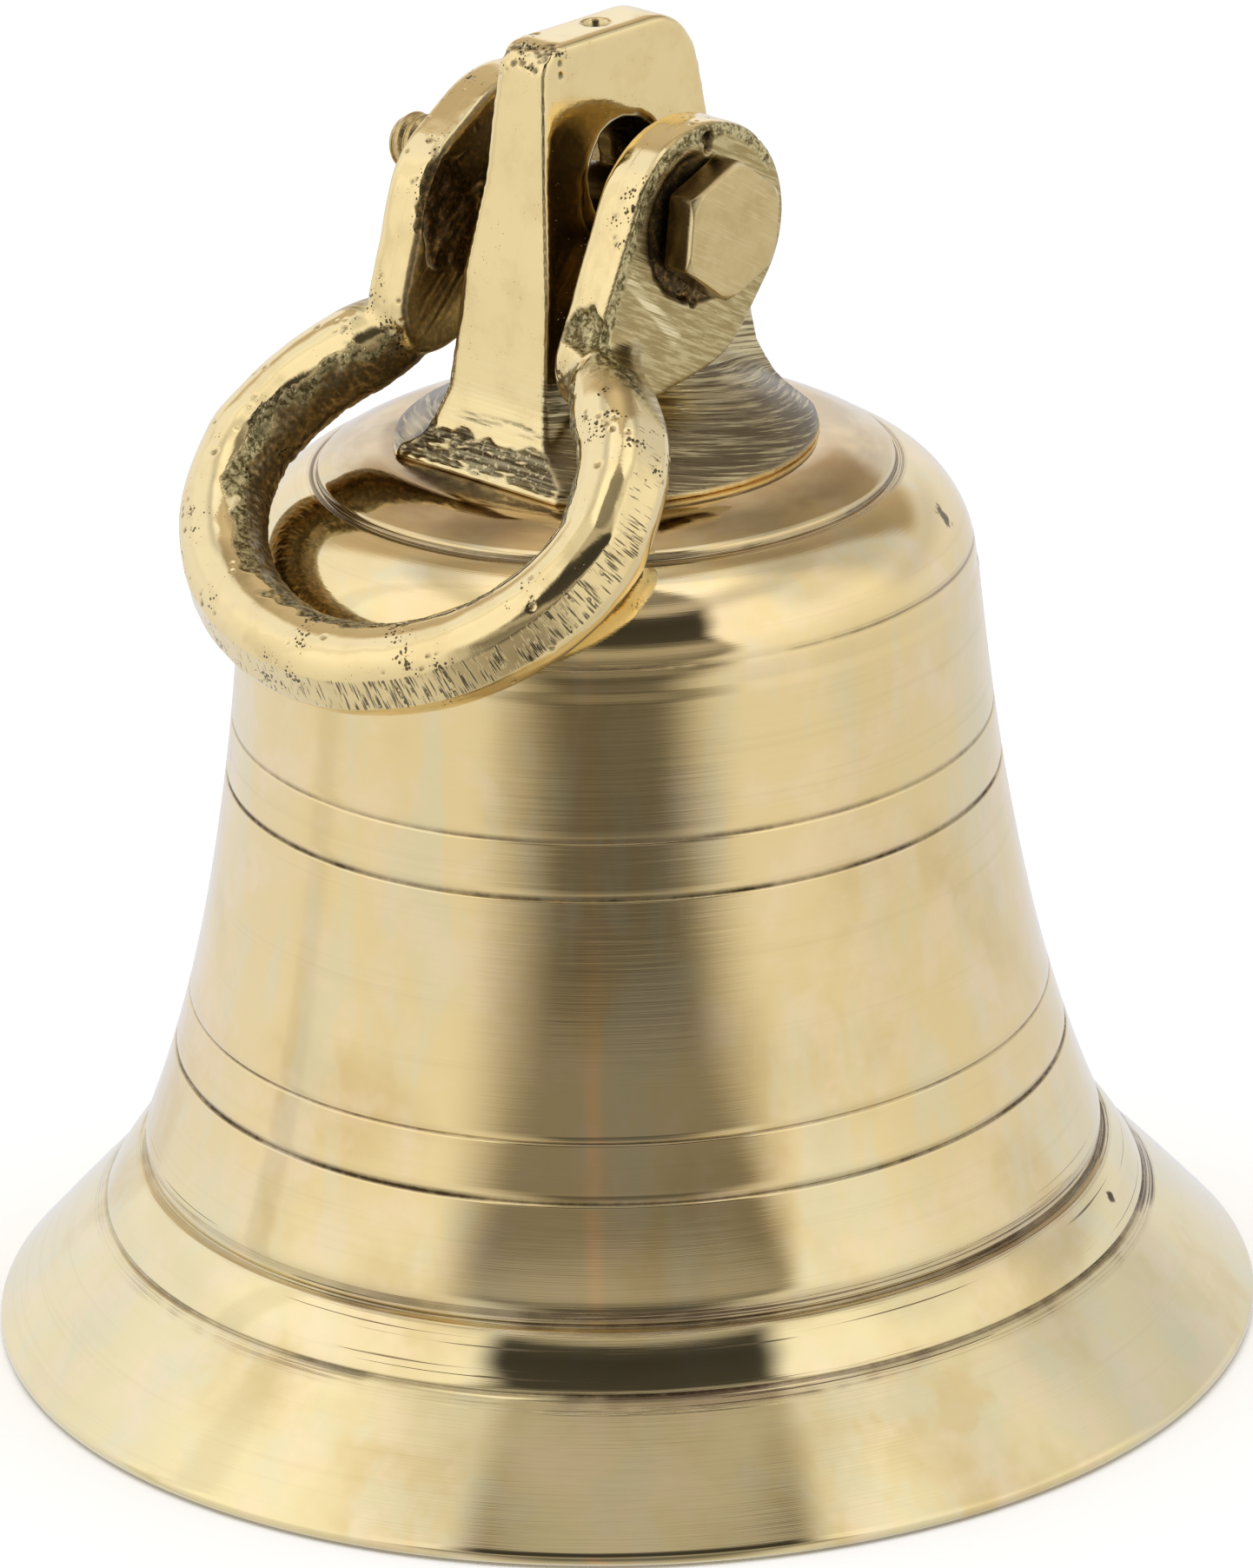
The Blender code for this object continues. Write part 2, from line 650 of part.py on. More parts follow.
def clapper_ball(parts, material):
    """A round ball with the rod's bore through it."""
    bore = CLAPPER_ROD_RADIUS + GAP
    reach = math.acos(bore / BALL_RADIUS)
    outline = arc((0.0, BALL_Z - PIVOT_Z), BALL_RADIUS, reach, -reach, 16)
    obj = turned("clapper_ball", outline, True, 32, parts, material)
    obj.location = (0.0, 0.0, PIVOT_Z)


def clapper_rope_eye(parts, cutters, material):
    """The ring nut that holds the ball on the rod and takes the bell rope."""
    top = BALL_Z - math.sqrt(BALL_RADIUS**2 - (CLAPPER_ROD_RADIUS + GAP) ** 2) - GAP
    obj = post("clapper_rope_eye", ROPE_EYE_COLLAR_RADIUS, ROPE_EYE_COLLAR_LOW_Z - PIVOT_Z,
               top - PIVOT_Z, HOLE_FACETS, parts, material)
    bpy.ops.mesh.primitive_torus_add(
        major_segments=24, minor_segments=10, major_radius=ROPE_EYE_RING_RADIUS,
        minor_radius=ROPE_EYE_WIRE_RADIUS, location=(0.0, 0.0, ROPE_EYE_RING_Z),
        rotation=(math.pi / 2, 0.0, 0.0),
    )
    ring = bpy.context.object
    ring.name = "rope_eye_ring"
    for old in ring.users_collection:
        old.objects.unlink(ring)
    cutters.objects.link(ring)
    hole = post("rope_eye_hole", CLAPPER_ROD_RADIUS + GAP, CLAPPER_ROD_END_Z - GAP - PIVOT_Z,
                top + OVERLAP - PIVOT_Z, 16, cutters, None)
    combine(obj, ring, "UNION")
    combine(obj, hole, "DIFFERENCE")
    for piece in (obj, hole):
        piece.location = (0.0, 0.0, PIVOT_Z)


def build():
    clear_scene()
    parts = new_collection("ship_bell")
    cutters = new_collection("cutters")
    polished = new_material("polished_brass", (0.80, 0.62, 0.30), 0.22)
    rough = new_material("cast_brass", (0.72, 0.56, 0.27), 0.38)
    machined = new_material("machined_brass", (0.74, 0.57, 0.27), 0.32)
    bell_body(parts, polished)
    crown_lug(parts, cutters, polished)
    shackle(parts, cutters, rough)
    shackle_bolt(parts, cutters, machined)
    fork_top = crown_fixings(parts, cutters, machined)
    clapper_fork(fork_top, parts, cutters, machined)
    clapper_bolt(parts, cutters, machined)
    clapper_rod(parts, cutters, machined)
    clapper_ball(parts, polished)
    clapper_rope_eye(parts, cutters, machined)


build()
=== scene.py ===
"""The looks of a cast brass ship's bell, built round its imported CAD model. Metres, +Z up."""

from math import cos, exp, pi, radians, sin, sqrt

import bmesh
import bpy
import numpy as np
from mathutils import Matrix, Vector, noise


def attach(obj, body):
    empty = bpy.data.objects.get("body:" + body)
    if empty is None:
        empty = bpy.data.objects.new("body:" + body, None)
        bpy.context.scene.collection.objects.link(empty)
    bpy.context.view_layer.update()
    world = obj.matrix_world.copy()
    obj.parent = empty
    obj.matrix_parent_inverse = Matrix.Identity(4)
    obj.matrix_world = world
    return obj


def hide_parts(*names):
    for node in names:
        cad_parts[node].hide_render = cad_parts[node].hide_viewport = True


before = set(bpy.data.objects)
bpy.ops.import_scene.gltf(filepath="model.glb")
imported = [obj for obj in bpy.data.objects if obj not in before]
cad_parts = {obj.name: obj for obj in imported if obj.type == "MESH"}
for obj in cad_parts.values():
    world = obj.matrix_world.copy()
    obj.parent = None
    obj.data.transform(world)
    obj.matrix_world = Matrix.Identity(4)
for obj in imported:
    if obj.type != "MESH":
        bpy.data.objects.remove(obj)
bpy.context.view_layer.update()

# The bell, as in the CAD: outer (radius, height) points and the heights of its turned lines.
WAIST_CORE_RADIUS = 0.0535
WAIST_FALL = 0.0591
BEAD_TOP = (0.0781, 0.0292)
BEAD_LOW = (0.0838, 0.0206)
SHOULDER_RADIUS = 0.0178
SHOULDER_CENTRE = (0.0402, 0.1263)
SHOULDER_SWEEP = radians(71.5)
CROWN_Z = 0.148
CROWN_INNER_Z = 0.138
WALL = 0.005
SOUND_BOW = ((0.096, 0.0008), (0.087, 0.009), (0.078, 0.018), (0.0719, 0.03), (0.0665, 0.046))
GROOVES = (0.1029, 0.0938, 0.0565, 0.0473)
FAINT_GROOVES = GROOVES[::2]
GROOVE_DEPTH, FAINT_DEPTH, GROOVE_REACH = 0.00042, 0.00027, 0.00036
SHOULDER_LINE_Z = 0.1303
COVE_TOP_Z, COVE_Z, BEAD_FOOT_Z = 0.0328, 0.0293, 0.0206
BEAD_BULGE, FLARE_BULGE = 0.00032, 0.0001
HEAVY_GRIME_TURN = radians(8)
BELL_SEGMENTS = 512

# The lug.
LUG_FOOT_Z = 0.1483
LUG_TOP_Z = 0.2153
LUG_VOXEL = 0.00034
HOLE_HALF_DEPTH = 0.0101
STUD_RADIUS, STUD_PITCH, STUD_THREAD_DEPTH = 0.006, 0.00125, 0.00035

# The shackle and its bolt.
BOLT_AXIS_Z = 0.1876
SHACKLE_LEAN = radians(48.6)
EYE_INNER_X = 0.0147
EYE_THICKNESS = 0.0088
EYE_DISCS = ((0.0008, 0.0006, 0.0171), (0.004, 0.0085, 0.0152), (0.002, 0.0262, 0.0082))
SHACKLE_VOXEL = 0.00035
ROD_RADIUS = 0.00725
BOW_CENTRE_DROP = 0.0563
BOW_ASIDE = 0.0025
BOW_HALF_WIDTH = 0.0381
BOW_HALF_HEIGHT = 0.0314
BORE_RADIUS = 0.00505
FACET_TURN = radians(70)
BOLT_RADIUS = 0.00475
HEAD_HEIGHT = 0.0055
HEAD_RADIUS = 0.0112
THREAD_PITCH = 0.0022
THREAD_DEPTH = 0.00062
BOLT_END_X = -0.043

# The camera, at the photograph's view: azimuth 45 degrees, a little above the shoulder.
CAMERA_AZIMUTH = radians(45.0)
CAMERA_ELEVATION = radians(21.5)
CAMERA_AIM_Z = 0.0888
CAMERA_DISTANCE = 1.583
CAMERA_PAN = 0.0012
CAMERA_ROLL = radians(-1.4)
SENSOR_MM = 36.0
LENS_MM = 228.4

# The stage.
FLOOR_SIZE = 6.0
FLOOR_Z = -0.0002
LIGHT_SIZE, LIGHT_WATTS, LIGHT_Z = 2.6, 31.0, 2.0


def link_object(name, data):
    obj = bpy.data.objects.new(name, data)
    bpy.context.scene.collection.objects.link(obj)
    return obj


def camera():
    data = bpy.data.cameras.new("camera")
    data.sensor_fit = "VERTICAL"
    data.sensor_height = SENSOR_MM
    data.lens = LENS_MM
    data.clip_start = 0.05
    obj = link_object("camera", data)
    back = Vector((
        sin(CAMERA_AZIMUTH) * cos(CAMERA_ELEVATION),
        -cos(CAMERA_AZIMUTH) * cos(CAMERA_ELEVATION),
        sin(CAMERA_ELEVATION),
    ))
    right = Vector((cos(CAMERA_AZIMUTH), sin(CAMERA_AZIMUTH), 0.0))
    aim = -back * cos(CAMERA_PAN) + right * sin(CAMERA_PAN)
    obj.location = Vector((0.0, 0.0, CAMERA_AIM_Z)) + back * CAMERA_DISTANCE
    rotation = aim.to_track_quat("-Z", "Y").to_matrix() @ Matrix.Rotation(CAMERA_ROLL, 3, "Z")
    obj.rotation_euler = rotation.to_euler()
    bpy.context.scene.camera = obj


class Nodes:
    """A short way to write node trees: most calls make one node and return its output."""

    def __init__(self, tree):
        self.tree = tree

    def new(self, kind, inputs=(), **settings):
        node = self.tree.nodes.new("ShaderNode" + kind)
        for key, value in settings.items():
            setattr(node, key, value)
        return self.fill(node, inputs)

    def fill(self, node, inputs):
        """Wires each input to a socket, or gives it a number or a tuple."""
        for key, value in dict(inputs).items():
            if isinstance(value, bpy.types.NodeSocket):
                self.tree.links.new(value, node.inputs[key])
            else:
                node.inputs[key].default_value = value
        return node

    def math(self, operation, *values, clamp=False):
        return self.new("Math", enumerate(values), operation=operation, use_clamp=clamp).outputs[0]

    def times(self, a, b, clamp=False):
        return self.math("MULTIPLY", a, b, clamp=clamp)

    def line(self, value, slope, start):
        """value * slope + start."""
        return self.math("MULTIPLY_ADD", value, slope, start)

    def vector(self, operation, a, b):
        """One number from two vectors."""
        return self.new("VectorMath", {0: a, 1: b}, operation=operation).outputs[1]

    def mix(self, factor, a, b):
        a, b = [(*value, 1.0) if isinstance(value, tuple) else value for value in (a, b)]
        return self.new("Mix", {0: factor, 6: a, 7: b}, data_type="RGBA").outputs[2]

    def coats(self, colour, *coats):
        """Lays each (factor, tint) over the colour in turn."""
        for factor, tint in coats:
            colour = self.mix(factor, colour, tint)
        return colour

    def ramp(self, value, low, high, out_low=0.0, out_high=1.0):
        """A smooth step from low to high."""
        inputs = {"Value": value, "From Min": low, "From Max": high, "To Min": out_low, "To Max": out_high}
        return self.new("MapRange", inputs, interpolation_type="SMOOTHSTEP").outputs[0]

    def noise(self, vector, scale, detail=2.0, roughness=0.5):
        inputs = {"Vector": vector, "Scale": scale, "Detail": detail, "Roughness": roughness}
        return self.new("TexNoise", inputs).outputs["Fac"]

    def stretch(self, vector, scale):
        return self.new("Mapping", {"Vector": vector, "Scale": scale}).outputs[0]

    def streaks(self, vector, scale, detail=3.0, roughness=0.6):
        """Noise stretched by a scale of its own along each axis."""
        return self.noise(self.stretch(vector, scale), 1.0, detail, roughness)

    def cells(self, vector, scale):
        """How far each point is from the middle of its random cell."""
        return self.new("TexVoronoi", {"Vector": vector, "Scale": scale}, feature="F1").outputs["Distance"]

    def attribute(self, name, output="Fac"):
        return self.new("Attribute", attribute_name=name).outputs[output]

    def bump(self, height, depth):
        return self.new("Bump", {"Strength": 1.0, "Distance": depth, "Height": height}).outputs[0]


def new_material(name, metallic):
    """A material, its nodes, its shader and the place of each point."""
    material = bpy.data.materials.new(name)
    material.use_nodes = True
    n = Nodes(material.node_tree)
    shader = n.fill(n.tree.nodes["Principled BSDF"], {"Metallic": metallic})
    return material, n, shader, n.new("TexCoord").outputs["Object"]


def studio():
    """A soft pale studio: a big white panel on each side, and a darker gap between them in front."""
    world = bpy.data.worlds.new("studio")
    bpy.context.scene.world = world
    world.use_nodes = True
    n = Nodes(world.node_tree)
    world.node_tree.nodes.clear()
    direction = n.new("TexCoord").outputs["Generated"]
    aside, ahead = cos(CAMERA_AZIMUTH), sin(CAMERA_AZIMUTH)
    towards = n.vector("DOT_PRODUCT", direction, (ahead, -aside, 0.0))
    across = n.vector("DOT_PRODUCT", direction, (aside, ahead, 0.0))
    up = n.vector("DOT_PRODUCT", direction, (0.0, 0.0, 1.0))
    turn = n.times(n.math("ARCTAN2", across, towards), 180 / pi)
    rise = n.times(n.math("ARCSINE", up), 180 / pi)

    def by_height(*stops):
        """Numbers between -90 and 90 degrees of height, in straight lines between the stops."""
        node = n.new("FloatCurve", {"Value": n.line(rise, 1 / 180, 0.5)})
        curve = node.mapping.curves[0]
        top = max(value for _, value in stops)
        first, last = curve.points[0], curve.points[1]
        first.location = (0.0, stops[0][1] / top)
        last.location = (1.0, stops[-1][1] / top)
        for height, value in stops[1:-1]:
            curve.points.new(height / 180 + 0.5, value / top)
        for point in curve.points:
            point.handle_type = "VECTOR"
        node.mapping.update()
        return n.times(node.outputs[0], top)

    # The gap's edges and how soft they are, in degrees to each side.
    edge_right = by_height((-90, 30), (-12, 23), (-3, 29), (8, 36), (15, 40), (22, 36), (30, 33), (40, 37),
                           (50, 40), (60, 48), (90, 60))
    edge_left = by_height((-90, 30), (-12, 26), (-3, 31), (8, 38), (15, 42), (22, 37), (30, 31), (40, 36),
                          (50, 39), (60, 41), (90, 50))
    soft_right = by_height((-90, 5), (-12, 14), (0, 13), (8, 8), (16, 2.5), (24, 3), (40, 5), (90, 8))
    soft_left = by_height((-90, 5), (-12, 16), (0, 15), (8, 11), (20, 7), (40, 5), (90, 8))

    # How bright the gap and the panels are.
    gap = by_height(
        (-90, 0.65), (-40, 0.4), (-14, 0.14), (-11, 0.18), (-8, 0.1), (-4, 0.12), (0, 0.25), (8, 0.24),
        (12, 0.21), (15, 0.36), (21, 0.46), (24, 0.24), (28, 0.06), (45, 0.045), (53, 0.07), (56, 0.42),
        (60, 0.53), (63, 0.47), (65, 0.35), (68, 0.24), (80, 0.3), (90, 0.5))
    side = by_height((-90, 0.7), (-45, 0.76), (-12, 0.85), (0, 0.9), (12, 1.0), (25, 1.12), (50, 1.1),
                     (58, 0.76), (63, 0.84), (70, 1.25), (90, 1.1))
    inside_right = n.ramp(n.math("DIVIDE", n.math("SUBTRACT", edge_right, turn), soft_right), -1, 1)
    inside_left = n.ramp(n.math("DIVIDE", n.math("ADD", edge_left, turn), soft_left), -1, 1)
    in_gap = n.times(inside_right, inside_left)

    # Where the panels are brighter or dimmer, and by how much. Both sides agree straight behind.
    away = n.math("ABSOLUTE", turn)
    left_of_back, right_of_back = n.ramp(turn, -178, -140), n.ramp(turn, 178, 140)
    behind = n.ramp(away, 96, 112)
    far_back = n.times(n.ramp(away, 126, 138), n.ramp(rise, 19, 27))
    high = n.ramp(rise, 2, 18)
    panels = side
    for where, change in (
        (n.times(n.ramp(turn, -60, -85), left_of_back), 0.04),
        (behind, 0.02),
        (far_back, -0.46),
        (n.times(n.times(n.ramp(turn, 92, 114), high), right_of_back), -0.28),
        (n.times(n.times(n.ramp(turn, -92, -114), high), left_of_back), -0.12),
        (n.times(n.times(n.ramp(turn, 60, 80), right_of_back),
                 n.times(n.ramp(rise, 22, 40, 0.07, 0.2), n.ramp(rise, 60, 52))), -1.0),
        (n.times(n.ramp(turn, -100, -98), n.ramp(turn, -90, -92)), -0.12),
    ):
        panels = n.times(panels, n.line(where, change, 1.0))
    glow = n.times(n.times(n.ramp(turn, -10.5, -8), n.ramp(turn, -4.5, -7)), n.ramp(rise, 24, 14))
    gap = n.times(gap, n.line(glow, 0.1, 1.0))
    strength = n.math("ADD", n.times(panels, n.math("SUBTRACT", 1.0, in_gap)), n.times(gap, in_gap))
    warm = n.mix(glow, (1.04, 0.97, 0.87), (1.16, 0.92, 0.74))
    cool = n.mix(behind, (1.0, 0.985, 0.96), n.mix(far_back, (0.97, 0.985, 1.06), (1.06, 0.92, 0.76)))
    colour = n.mix(in_gap, cool, warm)
    seen = n.new("LightPath").outputs["Is Camera Ray"]
    background = n.new("Background", {"Color": n.mix(seen, colour, (1.0, 1.0, 1.0)),
                                      "Strength": n.math("MAXIMUM", strength, seen)})
    n.new("OutputWorld", {"Surface": background.outputs[0]})


def floor():
    bm = bmesh.new()
    bmesh.ops.create_grid(bm, x_segments=1, y_segments=1, size=FLOOR_SIZE)
    mesh = bpy.data.meshes.new("floor")
    bm.to_mesh(mesh)
    bm.free()
    obj = link_object("floor", mesh)
    obj.location.z = FLOOR_Z
    material, n, shader, place = new_material("floor_paper", 0.0)
    paper = n.mix(n.noise(place, 900), (0.91, 0.91, 0.915), (0.93, 0.93, 0.93))
    n.fill(shader, {"Base Color": paper, "Roughness": 0.9, "Specular IOR Level": 0.1})
    mesh.materials.append(material)
    obj.visible_glossy = False


def top_light():
    data = bpy.data.lights.new("top_light", "AREA")
    data.shape = "DISK"
    data.size = LIGHT_SIZE
    data.energy = LIGHT_WATTS
    obj = link_object("top_light", data)
    obj.location = (0.0, 0.0, LIGHT_Z)
    obj.visible_glossy = False


# Shapes.

def arc(centre, radius, start, end, steps):
    return [
        (centre[0] + radius * cos(start + (end - start) * step / steps),
         centre[1] + radius * sin(start + (end - start) * step / steps))
        for step in range(steps + 1)
    ]


def turns(count):
    """Angles all the way round, in radians."""
    return np.linspace(0, 2 * pi, count, endpoint=False)


def field(points, scale, seed):
    """Smooth noise between about -1 and 1 at each point, with features about 1 / scale metres across."""
    offset = Vector((seed * 7.3, seed * 3.1, seed * 5.7))
    flat = points.reshape(-1, 3) * scale
    return np.array([noise.noise(Vector(p) + offset) for p in flat]).reshape(points.shape[:-1])


def strands(first, second, seed):
    """Smooth noise over two measures of a surface."""
    return field(np.stack([first, second, first * 0], -1), 1, seed)


def unit(value):
    """Held between 0 and 1."""
    return np.clip(value, 0, 1)


def ramp(value, low, high):
    """A smooth step from 0 at low to 1 at high."""
    share = unit((value - low) / (high - low))
    return share * share * (3 - 2 * share)


def lathe_points(turn, radius, height):
    return np.stack([np.cos(turn) * radius, np.sin(turn) * radius, height], -1)


def near(value, centre, reach, fade):
    """1 within reach of the centre, falling to 0 over the fade."""
    return ramp(reach - np.abs(value - centre), 0.0, fade)


def set_attributes(mesh, **attributes):
    for name, values in attributes.items():
        attribute = mesh.attributes.new(name, "FLOAT", "POINT")
        attribute.data.foreach_set("value", np.asarray(values, np.float32).ravel())


def set_lay(mesh, lay):
    """Keeps each point's place along and across its tool marks."""
    attribute = mesh.attributes.new("lay", "FLOAT_VECTOR", "POINT")
    attribute.data.foreach_set("vector", lay.astype(np.float32).ravel())


def grid_mesh(name, points, wrap_rows=False, caps=False):
    """A mesh from rows of points, each row a closed ring. The rows can close on themselves too."""
    rows, columns = points.shape[:2]
    index = np.arange(rows * columns).reshape(rows, columns)
    below = np.roll(index, -1, axis=0) if wrap_rows else index[1:]
    above = index if wrap_rows else index[:-1]
    quads = np.stack([above, below, np.roll(below, -1, axis=1), np.roll(above, -1, axis=1)], -1)
    faces = quads.reshape(-1, 4).tolist()
    if caps:
        faces += [index[0].tolist(), index[-1][::-1].tolist()]
    mesh = bpy.data.meshes.new(name)
    mesh.from_pydata(points.reshape(-1, 3).tolist(), [], faces)
    mesh.shade_smooth()
    return mesh


def show(mesh, name, body, slot, material, *nodes):
    """Puts a finished mesh in the scene, in place of its CAD node."""
    obj = link_object(name, mesh)
    mesh.materials.append(material)
    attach(obj, body)
    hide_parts(*nodes)
    return obj


# The bell.

def waist_radius(height):
    fall = exp((BEAD_TOP[1] - height) / WAIST_FALL)
    return WAIST_CORE_RADIUS + (BEAD_TOP[0] - WAIST_CORE_RADIUS) * fall


def waist_heights():
    """Heights down the waist, close together at each turned line."""
    heights = [SHOULDER_CENTRE[1]]
    while heights[-1] > COVE_TOP_Z:
        gap = min(abs(heights[-1] - groove) for groove in GROOVES)
        heights.append(heights[-1] - (0.00012 if gap < 0.0009 else 0.0009))
    return heights[1:-1]


COVE = ((0.0324, 0.00004), (0.032, 0.00012), (0.0316, 0.00022), (0.0312, 0.00034), (0.0308, 0.00048),
        (0.0304, 0.00062), (0.03, 0.00078), (0.0297, 0.00092), (0.02945, 0.00108), (0.0293, 0.00118),
        (0.0292, 0.00122), (0.02908, 0.00112), (0.0289, 0.0007), (0.02878, 0.00035))


def bell_outline():
    """(radius, height) down the outside, round the lip and up the inside, finely spaced."""
    shoulder = arc(SHOULDER_CENTRE, SHOULDER_RADIUS, SHOULDER_SWEEP, 0.0, 40)
    edge, edge_z = shoulder[0]
    crown = [(0.0063, CROWN_Z), (0.02, CROWN_Z), (0.033, CROWN_Z), (0.0345, 0.14797), (0.036, 0.14786),
             (0.0375, 0.14765), (0.039, 0.1472), (0.0405, 0.1466), (0.042, 0.1459), (0.0434, 0.1451),
             (edge - 0.0013, edge_z + 0.00135), (edge - 0.0008, edge_z + 0.00105),
             (edge - 0.00055, edge_z + 0.0008), (edge - 0.00045, edge_z + 0.0005),
             (edge - 0.0004, edge_z + 0.0001), (edge - 0.0002, edge_z - 0.0002), (edge, edge_z - 0.0002)]
    outline = crown + shoulder[1:]
    outline += [(waist_radius(height), height) for height in waist_heights()]
    outline += [(waist_radius(height) - depth, height) for height, depth in COVE]
    steps = 44
    for step in range(steps + 1):
        share = step / steps
        rise = BEAD_BULGE * sin(pi * share) ** 0.8
        outline.append((
            BEAD_TOP[0] + 0.0001 + (BEAD_LOW[0] - BEAD_TOP[0] - 0.0003) * share + rise,
            0.0287 + (BEAD_LOW[1] + 0.0003 - 0.0287) * share + rise * 0.6,
        ))
    outline += [(0.08345, 0.0207), (0.0835, 0.02055), (0.0838, 0.0204), (0.0842, 0.0202)]
    flare = 46
    for step in range(1, flare + 1):
        share = step / flare
        bulge = FLARE_BULGE * sin(pi * share)
        outline.append((0.0842 + (0.1009 - 0.0842) * share + bulge * 0.7,
                        0.0202 + (0.0024 - 0.0202) * share + bulge))
    outline += [(0.10135, 0.00191), (0.10151, 0.0016), (0.10156, 0.0012), (0.10154, 0.0007),
                (0.1013, 0.00035), (0.1009, 0.0001), (0.1003, 0.0), (0.099, 0.0), (0.0972, 0.0),
                (0.0966, 0.0003)]
    inside = np.array(SOUND_BOW)
    heights = np.linspace(0.0016, 0.046, 26)
    outline += [(np.interp(height, inside[:, 1], inside[:, 0]), height) for height in heights]
    outline += [(waist_radius(height) - WALL, height) for height in np.linspace(0.05, 0.124, 30)]
    corner_radius = waist_radius(0.124) - WALL - 0.039
    outline += arc((0.039, 0.124), corner_radius, 0.0, radians(80), 10)[1:]
    outline += [(0.03, CROWN_INNER_Z), (0.018, CROWN_INNER_Z), (0.0063, CROWN_INNER_Z)]
    return np.array(outline)


SHOULDER_TOP = (SHOULDER_CENTRE[0] + SHOULDER_RADIUS * cos(SHOULDER_SWEEP),
                SHOULDER_CENTRE[1] + SHOULDER_RADIUS * sin(SHOULDER_SWEEP))


def waist_band(height):
    return ramp(height, 0.03, 0.05) * ramp(0.132 - height, 0.0, 0.01)


def groove_cut(height, turn):
    """How deep the turned lines are at each point."""
    depth = np.zeros(height.shape)
    for line in GROOVES:
        away = np.abs(height - line - 0.00006 * np.sin(turn * 2 + line * 900))
        full = FAINT_DEPTH if line in FAINT_GROOVES else GROOVE_DEPTH
        depth += full * unit(1 - away / GROOVE_REACH) ** 0.8
    return depth


def bell():
    outline = bell_outline()
    past_lip = np.arange(len(outline)) > np.argmin(outline[:, 1])
    around, radius, height, inside = np.broadcast_arrays(
        turns(BELL_SEGMENTS), outline[:, :1], outline[:, 1:], past_lip[:, None].astype(float))
    outer = 1 - inside

    # The waist waves a little, and the turned lines are cut into it.
    place = lathe_points(around, radius, height)
    waist = outer * (height < SHOULDER_CENTRE[1]) * (height > COVE_TOP_Z)
    cut = groove_cut(height, around) * waist
    swell = field(place, (22, 22, 30), 1) * 0.00007 + field(place, (60, 60, 70), 2) * 0.000018
    swell = swell + field(place, (120, 120, 26), 3) * 0.000038 * waist_band(height)
    swell *= ramp(height, 0, 0.004)
    cut = cut + 0.00016 * outer * unit(1 - np.abs(height - SHOULDER_LINE_Z) / 0.0004)
    radius = radius + (swell * (1 + 2 * inside) - cut)
    mesh = grid_mesh("ship_bell_body", lathe_points(around, radius, height), wrap_rows=True)

    # Black polish stays in the lines and corners, and scratches run round beside them. The crown round the
    # lug's foot also gets painted shade and reflection on its front side.
    patchy = ramp(field(place, (55, 55, 260), 5) + 0.35 * field(place, 300, 6), -0.25, 0.45)
    heavy = ramp(np.cos(around - HEAVY_GRIME_TURN), -0.1, 0.75)
    edge_z = SHOULDER_TOP[1]
    band = np.maximum.reduce([outer * part for part in (
        near(height, 0.0302, 0.0021, 0.0009) * (0.55 + 0.45 * patchy),
        near(height, 0.0198, 0.0014, 0.0009) * (0.15 + 0.85 * patchy),
        near(height, edge_z + 0.0001, 0.0007, 0.0005) * 0.7,
        near(height, SHOULDER_LINE_Z, 0.0006, 0.0005) * 0.5 * patchy,
    )])
    # Painted shade and reflection: the crown round the lug's foot, on the front side only.
    lug_foot_shade = (height > 0.1473) * ramp(0.0365 - np.hypot(place[..., 0], place[..., 1]), 0, 0.003) \
        * ramp(-place[..., 1], 0.01, 0.022)
    grime = np.maximum.reduce([
        ramp(cut, 0.00004, 0.00032) * (0.62 + 0.38 * patchy),
        outer * near(height, COVE_Z, 0.0006, 0.0007) * (0.5 + 0.5 * patchy) * (0.55 + 0.45 * heavy),
        outer * near(height, BEAD_FOOT_Z, 0.0005, 0.0004) * (0.6 + 0.4 * patchy) * (0.6 + 0.4 * heavy),
        outer * near(height, edge_z + 0.0002, 0.0005, 0.0005) * (0.4 + 0.5 * patchy),
        outer * lug_foot_shade * (0.3 + 0.7 * patchy),
    ])
    set_attributes(mesh, band=np.where(height < 0.05, band * (0.3 + 0.7 * heavy), band),
                   grime=grime, inside=inside)
    return mesh


# Cast pieces: a rough union of shapes, remeshed finely, then worked as a founder would, with files and pits.

def bmesh_object(bm, name):
    bmesh.ops.recalc_face_normals(bm, faces=bm.faces)
    mesh = bpy.data.meshes.new(name)
    bm.to_mesh(mesh)
    bm.free()
    return link_object(name, mesh)


def applied(obj):
    """The mesh of this helper object with its modifiers applied. The helper goes."""
    mesh = bpy.data.meshes.new_from_object(obj.evaluated_get(bpy.context.evaluated_depsgraph_get()))
    bpy.data.objects.remove(obj)
    return mesh


def cut(obj, cutters):
    """The object's mesh with the cutters taken out of it. All of the helpers go."""
    for cutter in cutters:
        modifier = obj.modifiers.new("cut", "BOOLEAN")
        modifier.operation = "DIFFERENCE"
        modifier.solver = "EXACT"
        modifier.object = cutter
    mesh = applied(obj)
    for cutter in cutters:
        bpy.data.objects.remove(cutter)
    return mesh


def rod_object(name, radius, start, end, facets=64):
    """A round rod along X, to cut holes with."""
    bm = bmesh.new()
    rings = []
    for x in (start, end):
        rings.append([
            bm.verts.new((x, radius * cos(turn), radius * sin(turn)))
            for turn in turns(facets)
        ])
    for i in range(facets):
        j = (i + 1) % facets
        bm.faces.new((rings[0][i], rings[0][j], rings[1][j], rings[1][i]))
    bm.faces.new(rings[0])
    bm.faces.new(rings[1])
    return bmesh_object(bm, name)


def read_points(mesh, source="vertices", key="co"):
    values = np.empty(len(getattr(mesh, source)) * 3, np.float32)
    getattr(mesh, source).foreach_get(key, values)
    return values.reshape(-1, 3).astype(float)


def write_points(mesh, points):
    mesh.vertices.foreach_set("co", points.astype(np.float32).ravel())
    mesh.update()


JOIN_ROUNDS = 28


